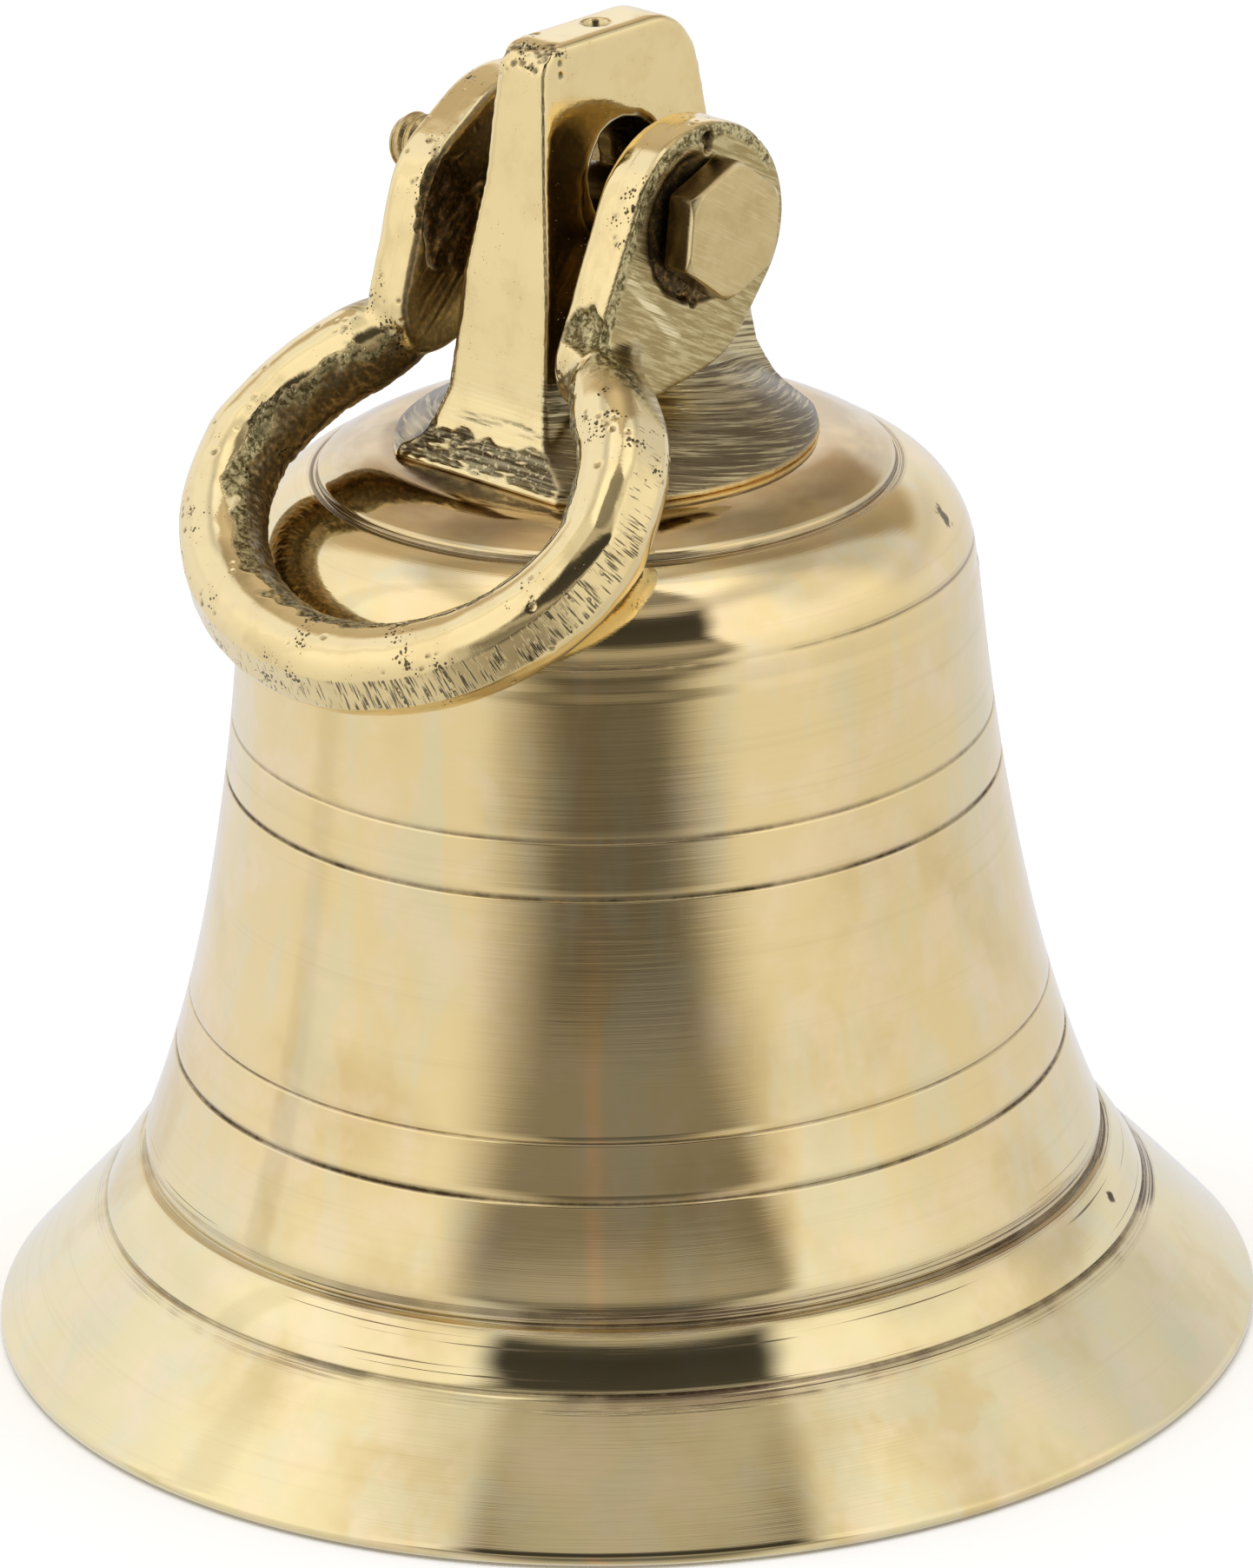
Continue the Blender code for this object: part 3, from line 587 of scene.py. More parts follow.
def remeshed(meshes, name, voxel, rounds, join=None):
    """One fine skin over all of these closed meshes, with its corners eased, and more so where join says."""
    bm = bmesh.new()
    for mesh in meshes:
        bm.from_mesh(mesh)
    obj = bmesh_object(bm, name)
    modifier = obj.modifiers.new("remesh", "REMESH")
    modifier.mode = "VOXEL"
    modifier.voxel_size = voxel
    mesh = applied(obj)
    points = read_points(mesh)
    edges = np.empty(len(mesh.edges) * 2, np.int32)
    mesh.edges.foreach_get("vertices", edges)
    first, second = edges.reshape(-1, 2).T
    count = len(points)
    degree = np.bincount(edges, minlength=count)[:, None]
    extra = join(points)[:, None] if join else 0.0
    for step in range(rounds + (JOIN_ROUNDS if join else 0)):
        total = np.stack([
            np.bincount(first, points[second, axis], count) + np.bincount(second, points[first, axis], count)
            for axis in range(3)
        ], -1)
        share = 0.5 if step < rounds else 0.5 * extra
        points = (1 - share) * points + share * total / degree
    write_points(mesh, points)
    mesh.name = name
    mesh.shade_smooth()
    return mesh


def dents(points, pits):
    """How deep each point lies in the nearest of these round pits: (x, y, z, radius, depth)."""
    depth = np.zeros(len(points))
    for x, y, z, radius, deep in pits:
        away = np.linalg.norm(points - (x, y, z), axis=1) / radius
        depth = np.maximum(depth, deep * unit(1 - away**2))
    return depth


def scattered(points, mask, count, sizes, seed):
    """Pits at random points of the masked surface: more of them where the mask is high."""
    rng = np.random.default_rng(seed)
    chosen = rng.choice(len(points), count, p=mask / mask.sum())
    radii = rng.uniform(*sizes, count)
    return [(*points[i], radius, radius * 0.5) for i, radius in zip(chosen, radii)]


# The shackle, in its own frame: +X towards the near eye, -Y up and towards the camera, -Z down to the bow.

def from_bolt_frame(points):
    turn = np.array(Matrix.Rotation(-SHACKLE_LEAN, 3, "X"))
    return points @ turn.T + (0.0, 0.0, BOLT_AXIS_Z)


def eye_object(side):
    bm = bmesh.new()
    layers = ((0.0, 0.0009), (0.0003, 0.0004), (0.001, 0.0), (EYE_THICKNESS - 0.001, 0.0),
              (EYE_THICKNESS - 0.0003, 0.0004), (EYE_THICKNESS, 0.0009))
    for depth, inset in layers:
        for across, down, radius in EYE_DISCS:
            for y, z in arc((across, -down), radius - inset, 0.0, 2 * pi, 72)[:-1]:
                bm.verts.new((side * (EYE_INNER_X + depth), side * y, z))
    hull = bmesh.ops.convex_hull(bm, input=bm.verts)
    inner = {item for item in hull["geom_interior"] if isinstance(item, bmesh.types.BMVert)}
    bmesh.ops.delete(bm, geom=list(inner), context="VERTS")
    return bmesh_object(bm, "eye")


def smooth_between(points, steps):
    """A Catmull-Rom curve through the points."""
    padded = np.array([points[0], *points, points[-1]])
    curve = []
    for a, b, c, d in zip(padded, padded[1:], padded[2:], padded[3:]):
        for t in np.arange(steps) / steps:
            curve.append(0.5 * (2 * b + (c - a) * t + (2 * a - 5 * b + 4 * c - d) * t**2
                                + (3 * b - a - 3 * c + d) * t**3))
    return [*curve, padded[-1]]


BOW_SHOULDER = ((0.0191, 0.0215, 0.58), (0.0196, 0.0265, 0.7), (0.0222, 0.0315, 0.88),
                (0.0268, 0.036, 1.0), (0.0314, 0.0405, 1.0), (0.0351, 0.0468, 1.0))


def bow_path():
    """(across, down, rod radius) along the bow, from the far eye round to the near eye."""
    half = [(BOW_HALF_WIDTH * sin(turn), BOW_CENTRE_DROP + BOW_HALF_HEIGHT * cos(turn), 1.0)
            for turn in np.linspace(pi / 2, 0.0, 31)]
    arm = smooth_between([*BOW_SHOULDER, half[0]], 8)[:-1] + half
    path = []
    for side, start, points in ((-1, 0.0285, arm[:-1]), (1, 0.0215, arm[::-1])):
        for across, down, factor in points:
            lead = BOW_ASIDE * min(1.0, max(0.0, (down - start) / 0.012))
            path.append((side * across + lead, down, factor * ROD_RADIUS))
    return np.array(path)


def bow_frames(path):
    """For each point of the path, its place, its way along, and its way outwards from the bow's middle."""
    place = np.stack([path[:, 0], np.zeros(len(path)), -path[:, 1]], -1)
    along = np.gradient(place, axis=0)
    along /= np.linalg.norm(along, axis=1)[:, None]
    outward = np.cross(along, (0.0, 1.0, 0.0))
    middle = np.array((BOW_ASIDE, 0.0, -BOW_CENTRE_DROP + 0.006))
    flip = np.sign(np.sum(outward * (place - middle), axis=1))[:, None]
    return place, along, outward * flip


def bow_mesh():
    path = bow_path()
    place, _, outward = bow_frames(path)
    turn = turns(48)
    ring = (outward[:, None, :] * np.sin(turn)[None, :, None]
            + np.array((0.0, -1.0, 0.0)) * np.cos(turn)[None, :, None])
    return grid_mesh("bow", place[:, None, :] + ring * path[:, 2][:, None, None], caps=True)


def eye_edge_distance(points):
    """How far inside the outline of its eye each point lies."""
    side = np.sign(points[:, 0])
    turn = turns(96)
    normals = np.stack([np.cos(turn), np.sin(turn)])
    reach = [across * normals[0] - down * normals[1] + radius for across, down, radius in EYE_DISCS]
    flat = np.stack([points[:, 1] * side, points[:, 2]], -1)
    return np.min(np.max(reach, axis=0)[None, :] - flat @ normals, axis=1)


# Marks on the near eye, as (sideways, up) of the eye's face.
EYE_RECESS = (-0.0003, -0.0006, 0.0124)
EYE_CAVITIES = ((0.0235, -0.0097, 0.0095, 0.0013, 0.0016), (0.0235, -0.0086, 0.0083, 0.0009, 0.0012),
                (0.0235, 0.0051, -0.0103, 0.0011, 0.0009), (0.0235, 0.0038, -0.0112, 0.0009, 0.0008),
                (0.0235, 0.0066, -0.0108, 0.0008, 0.0008))


def eye_joint(points):
    """Where each eye runs into the bow: that corner is a broad hollow."""
    drop = -points[:, 2]
    return ramp(drop, 0.0185, 0.0235) * ramp(0.0385 - drop, 0, 0.005)


def shackle():
    bores = [rod_object("bore", BORE_RADIUS, side * 0.01, side * 0.03) for side in (1, -1)]
    eyes = [cut(eye_object(side), [bore]) for side, bore in zip((1, -1), bores)]
    mesh = remeshed([*eyes, bow_mesh()], "shackle_forged", SHACKLE_VOXEL, 7, eye_joint)
    points = read_points(mesh)
    normals = read_points(mesh, "vertex_normals", "vector")
    x, y, z = points.T

    # Where each point is: how far along the bow and round its rod, and how far inside its eye.
    path = bow_path()
    place, along, outward = bow_frames(path)
    nearest = np.argmin(((points[:, None, (0, 2)] - place[None, :, (0, 2)]) ** 2).sum(axis=2), axis=1)
    offset = points - place[nearest]
    out = np.sum(offset * outward[nearest], axis=1)
    run = np.concatenate([[0], np.cumsum(np.linalg.norm(np.diff(place, axis=0), axis=1))])[nearest]
    run = run + np.sum(offset * along[nearest], axis=1)
    round_rod = np.degrees(np.arctan2(out, -y))
    edge = eye_edge_distance(points)
    forward = y * np.sign(x)
    in_rod = ramp(-z, 0.0285, 0.0335) * ramp(-edge, -0.0005, 0.0012)
    in_eye = 1 - in_rod
    face_x = EYE_INNER_X + EYE_THICKNESS
    outer_face = in_eye * ramp(np.abs(x), face_x - 0.0009, face_x - 0.0003)
    inner_face = in_eye * ramp(-np.abs(x), -EYE_INNER_X - 0.0012, -EYE_INNER_X - 0.0004)
    rim = in_eye * (1 - np.maximum(outer_face, inner_face))

    broad = field(points, 170, 1)
    medium = field(points, 420, 2)
    fine = field(points, 1300, 3)

    # The bow: a filed flat along its outer lower side, and a rough as-cast inside that also carries painted
    # shade.
    level = ROD_RADIUS * (0.925 + 0.018 * strands(run * 90, run * 0, 4))
    proud = out * sin(FACET_TURN) - y * cos(FACET_TURN) - level
    facet = in_rod * ramp(proud, -0.0002, 0.00005)
    flat_cut = in_rod * np.clip(proud, 0, None)
    facet_way = outward[nearest] * sin(FACET_TURN) + np.array((0, -1.0, 0)) * cos(FACET_TURN)
    ragged = 18 * broad + 16 * medium
    rough = in_rod * ramp(-round_rod + ragged, 34, 39) * ramp(172 + round_rod, 0, 14)
    dark_inside = in_rod * ramp(-round_rod + ragged * 0.7, 52, 66)
    grooves = strands(run * 1100, round_rod / 28, 5)

    # The eyes: a pitted border and a filed face, sunk a little round the bolt's head, where the head's
    # shadow is painted dark on the lower left.
    border = outer_face * ramp(0.0026 + 0.0009 * medium - edge, -0.0002, 0.0003)
    border *= ramp(-forward + z * 0.15 + 0.001 * broad, -0.0035, -0.0005)
    step = outer_face * ramp(edge, 0.0004, 0.001) * ramp(-forward, -0.002, 0.003)
    from_head = np.hypot(forward - EYE_RECESS[0], z - EYE_RECESS[1])
    recess = ramp(EYE_RECESS[2] - from_head + 0.0004 * medium, -0.0003, 0.0011)
    recess *= outer_face * (x > 0) * ramp(-z - 0.3 * y, -0.0055, 0.0005)
    notch_away = (points - (0.02, -0.0072, -0.0262)) / (0.0046, 0.0046, 0.0034)
    notch_near = unit(1 - (notch_away**2).sum(axis=1) * (1 + 0.6 * medium + 0.4 * broad))
    notch_far = (points - (-0.015, 0.0, -0.0145)) / (0.0021, 0.03, 0.0085)
    notch_far = unit(1 - (notch_far**2).sum(axis=1) * (1 + 0.8 * medium))
    notch_far = notch_far * ramp(-y, 0.001, 0.005)
    streaks = strands(y * 1500, z * 90, 6)

    # Pits, in clusters on the sides that show.
    clusters = ramp(field(points, 110, 7), 0.02, 0.35)
    open_side = ramp(normals @ np.array((0.66, -0.71, 0.25)), -0.3, 0.3)
    pit_mask = (0.05 + clusters) * open_side * np.maximum(rim, in_rod * (1 - rough)) * (1 - facet) + 1e-6
    pits = dents(points, scattered(points, pit_mask, 110, (0.00035, 0.0007), 11))
    cavities = dents(points, EYE_CAVITIES)

    down = rough * (0.0002 + 0.00016 * medium + 0.0001 * fine) + dark_inside * (0.0002 + 0.00013 * grooves)
    down += border * (0.00005 + 0.00012 * medium + 0.0001 * fine) + step * 0.0003
    down += recess * 0.0009 + notch_near**0.8 * 0.0022 + notch_near * (0.0004 * medium + 0.0002 * fine)
    down += notch_far * 0.0012 + inner_face * (0.00006 * streaks + 0.00005 * medium)
    down += pits * 0.75 + cavities
    down -= (0.00016 * field(points, 60, 8) + 0.00009 * broad + 0.00003 * medium) * (1 - outer_face)
    points = points - normals * down[:, None] - facet_way * flat_cut[:, None]
    write_points(mesh, from_bolt_frame(points))

    # What the material reads at each point.
    bold = strands(run * 26, run * 0, 9)
    bold = bold + 0.6 * ramp(run, 0.095, 0.115) - 0.6 * ramp(run, 0.15, 0.162)
    face_work = outer_face * (1 - border) * (1 - recess * 0.6)
    on_face = np.abs(x) > EYE_INNER_X + 0.004
    lay = np.zeros_like(points)
    lay[:, 0] = np.where(in_rod > 0.5, run, np.where(on_face, z * 0.94 - forward * 0.337, y))
    lay[:, 1] = np.where(in_rod > 0.5, np.radians(round_rod) * ROD_RADIUS,
                         np.where(on_face, forward * 0.94 + z * 0.337, z))
    set_lay(mesh, lay)
    bundle = near(z + 0.06 * y, -0.0164, 0.0013, 0.0006) * near(y, 0, 0.0085, 0.001)
    set_attributes(
        mesh,
        filed=unit(facet * (0.5 + 0.5 * ramp(bold, 0.1, 0.5))),
        face=face_work,
        bundle=face_work * bundle * (x > 0),
        rough=unit(rough * (1 - dark_inside) + border + ramp(notch_near, 0.0, 0.15)),
        # dark: pits, cavities and the far notch, plus painted shade and painted warm reflection on the eyes'
        # inner faces and the bow's inside, and a painted shadow of the bolt's head in the recess.
        dark=unit(np.maximum.reduce([
            dark_inside * 0.85, inner_face * 0.74, ramp(notch_far, 0.02, 0.3),
            ramp(cavities, 0.0003, 0.0008), ramp(pits, 0.00006, 0.0003) * 0.8,
            # painted shadow of the bolt's head, on the lower left of the recess
            ramp(recess, 0.05, 0.45) * ramp(-z - 0.5 * y, -0.004, 0.002)])),
        clusters=clusters * unit(rim + in_rod),
    )
    return mesh


# The lug.

LUG_PLATE = ((LUG_FOOT_Z, 0.0152, 0.0295), (0.1505, 0.0142, 0.0282), (0.154, 0.0128, 0.0263),
             (0.16, 0.0108, 0.024), (0.168, 0.01, 0.0228), (0.178, 0.0094, 0.0216),
             (0.193, 0.0067, 0.0189), (0.21, 0.0051, 0.0169), (LUG_TOP_Z, 0.0048, 0.0164))
LUG_FOOT = ((LUG_FOOT_Z, 0.0335, 0.0335), (0.15, 0.0331, 0.0322), (0.1524, 0.0298, 0.0272),
            (0.156, 0.0248, 0.0222), (0.16, 0.0175, 0.017), (0.164, 0.013, 0.013),
            (0.17, 0.009, 0.009), (0.176, 0.005, 0.005), (LUG_TOP_Z, 0.0, 0.0))


def corner_inset(height, radius):
    rise = max(0.0, height - (LUG_TOP_Z - radius))
    return radius - sqrt(max(radius**2 - rise**2, 0.0))


def lug_row(height):
    plate, foot = np.array(LUG_PLATE), np.array(LUG_FOOT)
    thickness = np.interp(height, plate[:, 0], plate[:, 1]) - corner_inset(height, 0.001)
    width = np.interp(height, plate[:, 0], plate[:, 2])
    front, back = width - corner_inset(height, 0.0046), width - corner_inset(height, 0.0085)
    across = (back - front) / 2 - (back + front) / 2 * np.cos(np.linspace(0, pi, 60))

    def side(column):
        flare = np.sqrt(np.maximum(np.interp(height, foot[:, 0], foot[:, column]) ** 2 - across**2, 0.0))
        return (thickness**6 + flare**6) ** (1 / 6)

    row = [(out, y, height) for out, y in zip(side(1), across)]
    return row + [(-out, y, height) for out, y in zip(side(2)[::-1], across[::-1])]


def lug_hole(x):
    """(height, half width, half height) of the cored hole, which narrows towards the far side."""
    open_end = (x + HOLE_HALF_DEPTH) / (2 * HOLE_HALF_DEPTH)
    return 0.1887 + 0.0037 * open_end, 0.0062 + 0.0029 * open_end, 0.0062 + 0.0041 * open_end


def crown_lug():
    heights = np.concatenate([np.linspace(LUG_FOOT_Z - 0.0005, LUG_TOP_Z - 0.0085, 100),
                              LUG_TOP_Z - 0.0085 * (1 - np.sin(np.linspace(0.05, pi / 2, 26)))])
    rows = np.array([lug_row(height) for height in heights])
    plate = link_object("plate", grid_mesh("plate", rows, caps=True))
    hole = rod_object("hole", 1.0, -0.03, 0.03, 72)
    for vertex in hole.data.vertices:
        middle, wide, high = lug_hole(vertex.co.x)
        vertex.co.y *= wide
        vertex.co.z = middle + vertex.co.z * high
    mesh = remeshed([cut(plate, [hole])], "crown_lug_forged", LUG_VOXEL, 22)
    points = read_points(mesh)
    normals = read_points(mesh, "vertex_normals", "vector")
    x, y, z = points.T
    medium, fine, broad = field(points, 420, 21), field(points, 1300, 22), field(points, 120, 23)

    # The narrow front, the filed flanks, the torn as-cast band at the foot, the hole, whose rough wall is
    # painted dark as shade, and the drilling.
    torn = field(points, (190, 190, 1300), 27) + 0.6 * field(points, (520, 520, 1900), 28)
    narrow = ramp(-normals[:, 1], 0.55, 0.8)
    flank = ramp(np.abs(normals[:, 0]), 0.16, 0.4) * ramp(0.178 - z, 0, 0.006)
    foot = ramp(0.1545 + 0.0012 * medium + 0.001 * broad - z, 0, 0.0006)
    as_cast = narrow * foot * ramp(z + 0.0005 * medium, 0.1487, 0.1495)
    middle, wide, high = lug_hole(x)
    past_wall = (np.hypot(y / wide, (z - middle) / high) - 1) * 0.008
    hole_wall = ramp(0.0008 - past_wall + 0.0007 * medium, 0, 0.0009)
    hole_wall *= (np.abs(x) < HOLE_HALF_DEPTH) * (z > 0.178)
    drill = dents(points, [(0.0, 0.0, LUG_TOP_Z, 0.0023, 0.0028)])
    top_corner = ramp(z, 0.2095, 0.2125) * ramp(-y, 0.0085, 0.0125)
    pit_mask = top_corner * 2.0 + narrow * ramp(field(points, 90, 24), 0.1, 0.4) * 0.03 + 1e-6
    pits = dents(points, scattered(points, pit_mask, 60, (0.0004, 0.0008), 25))
    file_mark = ramp(strands(x * 130, z * 2600 + x * 60, 33), 0.0, 0.25)
    file_mark *= narrow * near(z - 0.03 * x, 0.1566, 0.0011, 0.0006) * ramp(x, -0.0085, -0.004)
    worked = flank * ramp(0.17 - z, 0, 0.008)

    down = as_cast * (0.0003 + 0.0004 * torn + 0.00004 * fine) + file_mark * 0.0002 + pits * 0.7 + drill
    down += worked * 0.00005 * strands(z * 1700 + y * 300, y * 60, 26) + 0.00008 * broad
    down += 0.00014 * field(points, 62, 29) + hole_wall * (0.0001 + 0.00012 * medium)
    points = points - normals * down[:, None]
    write_points(mesh, points)

    # What the material reads at each point.
    set_lay(mesh, np.stack([z + y * 0.18, y, x], -1))
    bold = ramp(z, 0.1545, 0.16) * ramp(field(points, 150, 30), -0.1, 0.3)
    under_eye = worked * ramp(z, 0.1535, 0.16) * ramp(0.172 - z, 0, 0.004)
    torn_dark = ramp(torn + 0.62 - 0.5 * ramp(0.1505 - z, 0, 0.0012), 0.0, 0.2)
    set_attributes(
        mesh,
        filed=unit(worked * (0.34 + 0.75 * bold)),
        face=worked * ramp(0.1705 - z, 0, 0.0065) * ramp(z, 0.1486, 0.1493),
        bundle=narrow * ramp(0.17 - z, 0.0, 0.012) * 0.3 + under_eye * 0.6,
        rough=as_cast * ramp(-torn, 0.1, 0.4) * 0.3,
        dark=unit(np.maximum.reduce([
            # hole_wall: painted shade on the hole's wall
            as_cast * torn_dark, file_mark * 0.8, hole_wall * 0.75,
            ramp(pits, 0.00006, 0.0003) * 0.8, ramp(drill, 0.0002, 0.0012) * 0.6])),
        clusters=top_corner,
    )
    with_stud(mesh)
    return mesh


def with_stud(mesh):
    """Adds the lug's threaded stud, which goes down through the crown."""
    turn, height = np.broadcast_arrays(turns(48), np.linspace(0.1212, 0.149, 200)[:, None])
    wave = 0.5 + 0.5 * np.cos(height / STUD_PITCH * 2 * pi - turn)
    radius = STUD_RADIUS - STUD_THREAD_DEPTH * wave - 0.0006 * unit((0.122 - height) / 0.0008)
    stud = grid_mesh("stud", lathe_points(turn, radius, height), caps=True)
    bm = bmesh.new()
    bm.from_mesh(mesh)
    bm.from_mesh(stud)
    bm.to_mesh(mesh)
    bm.free()
    mesh.shade_smooth()


# The bolt.

def bolt():
    """A worn hexagon head, a plain shank and a coarse thread at the far end."""
    turn = turns(144)
    head_foot = EYE_INNER_X + EYE_THICKNESS + 0.0003
    head_top = head_foot + HEAD_HEIGHT
    sixth = pi / 3
    from_flat = np.abs((turn - radians(22) + sixth / 2) % sixth - sixth / 2)
    hexagon = np.minimum(HEAD_RADIUS * cos(sixth / 2) / np.cos(sixth / 2 - from_flat), 0.01108)
    rows = []

    def ring(x, radius):
        rows.append(np.stack([np.full(turn.shape, x), np.cos(turn) * radius, np.sin(turn) * radius], -1))

    for radius in (0.0004, 0.003, 0.006, 0.0085, 0.0096):
        ring(head_top, np.minimum(radius, hexagon - 0.0004))
    for share in np.linspace(0, 1, 12):
        x = head_top - 0.00004 - 0.0012 * share
        ring(x, np.minimum(0.0102 + 0.0012 * share, hexagon) - 0.00022 * (1 - share) ** 3)
    for x in np.linspace(head_top - 0.0014, head_foot + 0.0002, 16):
        ring(x, hexagon)
    ring(head_foot, hexagon - 0.0002)
    for radius in (0.0098, 0.0075, 0.0055):
        ring(head_foot, np.minimum(radius, hexagon))
    for x in np.linspace(head_foot - 0.0001, -0.02, 20):
        ring(x, BOLT_RADIUS)
    for x in np.linspace(-0.0202, BOLT_END_X, 200):
        wave = 0.5 + 0.5 * np.cos(2 * pi * x / THREAD_PITCH - turn)
        depth = THREAD_DEPTH * (1 - wave**0.6) * ramp(-x, 0.0202, 0.0225)
        end = 0.0009 * unit((-x - 0.0422) / 0.0008)
        ring(x, BOLT_RADIUS - depth - end)
    ring(BOLT_END_X, 0.002)
    points = np.array(rows)
    across = points[..., 1:] / np.linalg.norm(points[..., 1:], axis=-1, keepdims=True)
    points[..., 1:] += field(points, 240, 31)[..., None] * 0.00005 * across
    mesh = grid_mesh("shackle_bolt_forged", points, caps=True)
    write_points(mesh, points.reshape(-1, 3) + (0.0, 0.0, BOLT_AXIS_Z))
    along = points[..., 0].ravel()
    # Painted shade: the head's sides, and the shank between the eyes in the lug's hole, are painted dark
    # brown.
    sides = ramp(head_top - 0.0005 - along, 0, 0.0006) * (along > 0.02)
    shank = ramp(EYE_INNER_X - along, 0, 0.001) * ramp(along, -0.019, -0.015)
    set_attributes(
        mesh,
        worn=near(along, head_top - 0.0004, 0.0004, 0.0004),
        head_face=ramp(along, head_top - 0.0006, head_top - 0.0001),
        sides=np.maximum(sides, shank * 0.85),
        thread=ramp(-along, 0.0205, 0.0225),
    )
    return mesh


# Colours, and the single marks placed on the bell.
BRASS = (0.88, 0.715, 0.385)
WAIST_BRASS = (0.87, 0.69, 0.36)
FLARE_BRASS = (0.85, 0.73, 0.42)
TARNISH = (0.7, 0.52, 0.24)
PATINA = (0.085, 0.058, 0.03)
CAST = (0.36, 0.27, 0.12)
# Orange-brown in the shackle's dark parts: dirt in its pits, and a painted warm reflection on its inner
# faces.
DIRT_AND_WARM_REFLECTION = (0.42, 0.25, 0.085)
GREY_BRASS = (0.55, 0.45, 0.26)


def on_bell(radius, degrees, height):
    return radius * cos(radians(degrees)), radius * sin(radians(degrees)), height


STAIN = on_bell(0.09, -11, 0.014)
DENT = on_bell(0.054, 31, 0.1375)
DENT_FLATNESS = 0.22
NICK = on_bell(0.0812, 28, 0.0256)


def polished_material():
    """Turned and polished brass: faint rings, tarnish, drips, and black polish left in the corners, with
    painted shade round the lug's foot and a painted brown reflection over the crown.
    """
    material, n, shader, place = new_material("polished_brass_turned", 1.0)
    x, y, z = n.new("SeparateXYZ", {0: place}).outputs
    radius = n.math("SQRT", n.math("ADD", n.times(x, x), n.times(y, y)))
    turned = n.new("CombineXYZ", {0: x, 1: y, 2: n.math("SUBTRACT", z, radius)}).outputs[0]
    blotch = n.noise(place, 28, 4, 0.55)
    cloud = n.noise(place, 90, 3, 0.6)
    sand = n.noise(place, 1200, 3, 0.65)
    drips = n.streaks(place, (95, 95, 22))
    streak = n.streaks(turned, (22, 22, 1100))
    bands = n.streaks(turned, (9, 9, 420), 3, 0.65)
    lines = n.streaks(turned, (10, 10, 2500), 3, 0.65)
    fine = n.streaks(turned, (45, 45, 4200), 2, 0.5)
    grime, inside, band = n.attribute("grime"), n.attribute("inside"), n.attribute("band")

    def spot(centre, scale, detail, wobble, roughness=0.5, where=place):
        """How far each point is from a mark's ragged middle."""
        ragged = n.math("SUBTRACT", n.noise(place, scale, detail, roughness), 0.5)
        return n.line(ragged, wobble, n.vector("DISTANCE", where, centre))

    # The brass and its tarnish, and a painted brown reflection over the crown.
    crown = n.ramp(n.streaks(place, (60, 60, 300)), 0.3, 0.62, 0.25, 0.75)
    stain = n.ramp(spot(STAIN, 160, 3, 0.012, 0.6), 0.0068, 0.0035, 0.0, 0.5)
    colour = n.coats(
        n.mix(n.ramp(z, 0.052, 0.022), WAIST_BRASS, FLARE_BRASS),
        (n.times(n.ramp(blotch, 0.48, 0.68), 0.6), TARNISH),
        (n.times(n.ramp(drips, 0.46, 0.64), 0.52), (0.78, 0.73, 0.5)),
        (n.times(n.ramp(cloud, 0.45, 0.68), 0.46), (0.93, 0.74, 0.5)),
        (n.times(n.ramp(bands, 0.54, 0.74), 0.12), (0.56, 0.42, 0.22)),
        # painted reflection: the crown's top painted brown
        (n.times(n.ramp(z, 0.1425, 0.1462), crown), (0.5, 0.35, 0.19)),
        (stain, (0.78, 0.58, 0.28)),
        (n.times(band, 0.5), (0.38, 0.26, 0.19)),
    )

    # The dark: corners, painted shade round the lug's foot, a nick, a dent, fine lines beside the corners
    # and long scores on the bead.
    nick = spot(NICK, 900, 1, 0.0009)
    tall = n.stretch(place, (1.0, 1.0, DENT_FLATNESS))
    dent = spot((DENT[0], DENT[1], DENT[2] * DENT_FLATNESS), 620, 2, 0.0036, where=tall)
    streaky = n.times(n.ramp(lines, 0.5, 0.56), n.times(band, 1.25, clamp=True))
    scores = n.ramp(n.streaks(turned, (13, 13, 1150), 2, 0.5), 0.655, 0.68)
    scores = n.times(scores, n.times(n.ramp(z, 0.0175, 0.0195), n.ramp(z, 0.0345, 0.0325)))
    dark = n.times(grime, n.line(n.noise(place, 700, 2), 0.7, 0.65), clamp=True)
    for mark in (n.ramp(nick, 0.00135, 0.00085), n.ramp(dent, 0.0017, 0.0009, 0.0, 0.85),
                 n.times(streaky, 0.9), n.times(scores, 0.85)):
        dark = n.math("MAXIMUM", dark, mark)
    colour = n.mix(dark, colour, n.mix(n.ramp(bands, 0.4, 0.6), PATINA, (0.16, 0.1, 0.065)))
    oxide = n.mix(n.ramp(n.noise(place, 75, 4, 0.6), 0.35, 0.65), CAST, (0.25, 0.165, 0.075))
    colour = n.mix(n.times(inside, 0.88), colour, oxide)

    worn = n.times(n.ramp(z, 0.056, 0.09), n.ramp(z, 0.134, 0.122))
    rough = n.line(worn, 0.07, 0.05)
    for more in (
        n.times(n.ramp(blotch, 0.4, 0.7), n.line(worn, 0.03, 0.02)),
        n.times(n.ramp(drips, 0.4, 0.7), n.times(worn, 0.06)),
        n.times(dark, 0.35),
        n.times(inside, 0.3),
    ):
        rough = n.math("ADD", rough, more)
    height = n.times(streak, n.line(worn, 0.35, 0.05))
    height = n.line(bands, n.line(worn, 0.35, 0.04), height)
    height = n.line(fine, 0.1, height)
    height = n.line(streaky, -1.5, height)
    height = n.line(n.times(sand, inside), 1.6, height)
    round_axis = n.new("Tangent", direction_type="RADIAL", axis="Z").outputs[0]
    n.fill(shader, {"Base Color": colour, "Roughness": rough, "Normal": n.bump(height, 0.00007),
                    "Anisotropic": 0.25, "Tangent": round_axis})
    return material


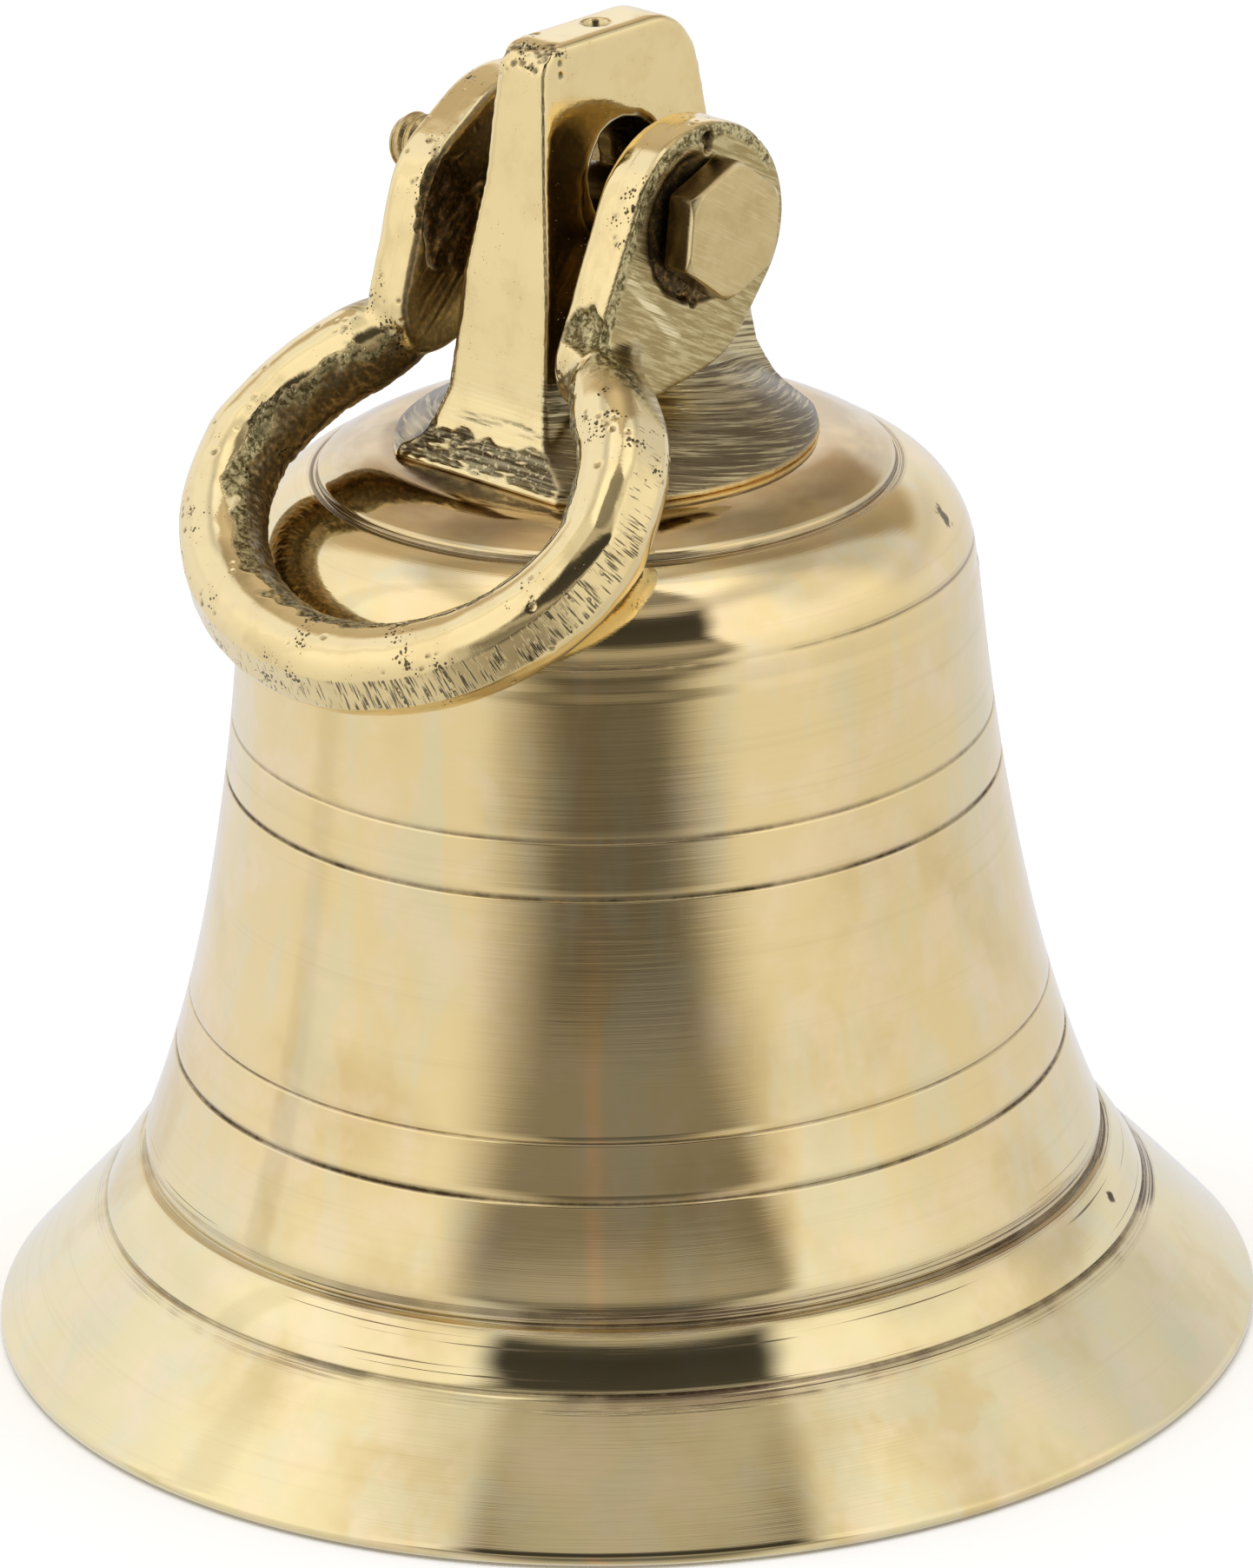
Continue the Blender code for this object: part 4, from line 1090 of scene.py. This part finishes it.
def worked_material(name, polish, grit, ground, hatch_range, speck_tint, speck_range):
    """Cast brass, worked by hand: polished where worn, filed on its faces, black in its pits and corners,
    the corners partly as painted shade with a painted warm reflection.
    """
    material, n, shader, place = new_material(name, 1.0)
    lay = n.attribute("lay", "Vector")
    rough, dark = n.attribute("rough"), n.attribute("dark")
    filed, face = n.attribute("filed"), n.attribute("face")
    bundle, clusters = n.attribute("bundle"), n.attribute("clusters")
    grain = n.noise(place, 2600, 2, 0.6)
    sand = n.noise(place, 1100, 3, 0.65)
    cloud = n.noise(place, 130, 3, 0.6)
    wide = n.streaks(lay, (1700 * grit, 150 / grit, 150 / grit), 3, 0.65)
    scratches = n.streaks(lay, (2600, 60, 60), 2, 0.5)
    pit = n.ramp(n.noise(place, 260, 2, 0.5), 0.42, 0.68, 0.02, 0.36)
    pit = n.math("SUBTRACT", n.times(pit, n.line(clusters, 1.0, 0.35)), n.cells(place, 1500))
    pit = n.times(pit, 9.0, clamp=True)
    stroke = n.math("SUBTRACT", n.times(filed, 0.49), n.cells(n.stretch(lay, (2750, 250, 250)), 1.0))
    stroke = n.times(stroke, 4.5, clamp=True)
    hatch = n.times(n.ramp(wide, *hatch_range), face)

    colour = n.coats(
        n.mix(n.times(n.ramp(cloud, 0.45, 0.75), 0.35), BRASS, TARNISH),
        (n.times(face, 0.92), ground),
        (n.times(hatch, 0.62), (0.8, 0.68, 0.38)),
        (rough, n.mix(n.ramp(sand, 0.38, 0.62), (0.15, 0.118, 0.045), (0.66, 0.57, 0.31))),
        # the dark parts, near black with specks of a tint; on the shackle this includes painted shade and
        # painted warm reflection
        (n.times(dark, 0.92), n.mix(n.ramp(sand, *speck_range), (0.05, 0.033, 0.016), speck_tint)),
        (n.times(stroke, 0.9), (0.1, 0.08, 0.05)),
        (n.times(bundle, n.ramp(scratches, 0.4, 0.6)), (0.95, 0.84, 0.52)),
        (n.times(pit, 0.9), (0.04, 0.032, 0.02)),
    )

    shine = n.line(n.ramp(cloud, 0.35, 0.7), 0.06, polish)
    for part, more in ((rough, 0.28), (face, 0.2), (dark, 0.3)):
        shine = n.math("ADD", shine, n.times(part, more))
    shine = n.math("ADD", shine, n.times(filed, 0.1), clamp=True)
    height = n.times(sand, n.line(rough, 1.6, 0.1))
    height = n.line(n.times(grain, n.line(rough, 1.0, 0.05)), 0.5, height)
    height = n.line(wide, n.times(face, 1.2), height)
    height = n.line(stroke, -1.2, height)
    height = n.line(pit, -2.2, height)
    height = n.line(scratches, n.line(bundle, 1.0, 0.06), height)
    n.fill(shader, {"Base Color": colour, "Roughness": shine, "Normal": n.bump(height, 0.00009)})
    return material


def machined_material(name, aged=0.0):
    """Turned and milled brass: fine straight tool marks, gold, browner in its thread, with painted shade on
    the head's sides and the shank.
    """
    material, n, shader, place = new_material(name, 1.0)
    head, thread, sides, worn = [n.attribute(part) for part in ("head_face", "thread", "sides", "worn")]
    cloud = n.noise(place, 160, 3, 0.6)
    turned = n.new("Mapping", {"Vector": place, "Rotation": (radians(-58), 0.0, 0.0)}).outputs[0]
    brushed = n.streaks(turned, (500, 3000, 160))
    sand = n.noise(place, 1500, 2, 0.6)
    colour = n.coats(
        n.mix(n.ramp(cloud, 0.35, 0.75), (0.7, 0.555, 0.28), (0.6, 0.46, 0.215)),
        (n.times(n.ramp(brushed, 0.5, 0.7), 0.45), (0.84, 0.7, 0.4)),
        (n.times(thread, n.ramp(sand, 0.4, 0.7, 0.2, 0.75)), (0.5, 0.33, 0.13)),
        # painted shade on the head's sides and the shank
        (n.times(sides, n.ramp(cloud, 0.3, 0.7, 0.75, 0.93)), (0.13, 0.08, 0.032)),
        (n.times(worn, 0.6), (0.93, 0.8, 0.5)),
    )
    if aged:
        colour = n.mix(n.ramp(cloud, 0.3, 0.8, aged * 0.6, aged), colour, (0.17, 0.115, 0.05))
    shine = n.line(head, 0.1, n.line(n.ramp(cloud, 0.3, 0.8), 0.1, 0.2))
    height = n.line(sand, 0.35, brushed)
    n.fill(shader, {"Base Color": colour, "Roughness": n.math("ADD", shine, aged * 0.2),
                    "Normal": n.bump(height, 0.00005)})
    return material


camera()
studio()
floor()
top_light()
bpy.context.scene.view_settings.view_transform = "Standard"
polished = polished_material()
lug_metal = worked_material("polished_brass_lug", 0.065, 1.7, (0.115, 0.082, 0.046), (0.48, 0.68),
                            GREY_BRASS, (0.55, 0.62))
shackle_metal = worked_material("cast_brass_shackle", 0.07, 1.0, (0.38, 0.29, 0.125), (0.42, 0.62),
                                DIRT_AND_WARM_REFLECTION, (0.42, 0.72))
machined = machined_material("machined_brass_bolt")
aged = machined_material("machined_brass_inside", 0.8)
show(bell(), "ship_bell_body", "bell", "polished_brass", polished, "bell_body")
show(crown_lug(), "crown_lug_forged", "bell", "polished_brass", lug_metal, "crown_lug")
show(shackle(), "shackle_forged", "shackle", "cast_brass", shackle_metal, "shackle")
show(bolt(), "shackle_bolt_forged", "bolt", "machined_brass", machined, "shackle_bolt")
for node in ("crown_washer", "crown_nut", "clapper_fork", "clapper_bolt", "clapper_bolt_nut", "clapper_rod",
             "clapper_ball", "clapper_rope_eye"):
    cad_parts[node].data.materials[0] = aged
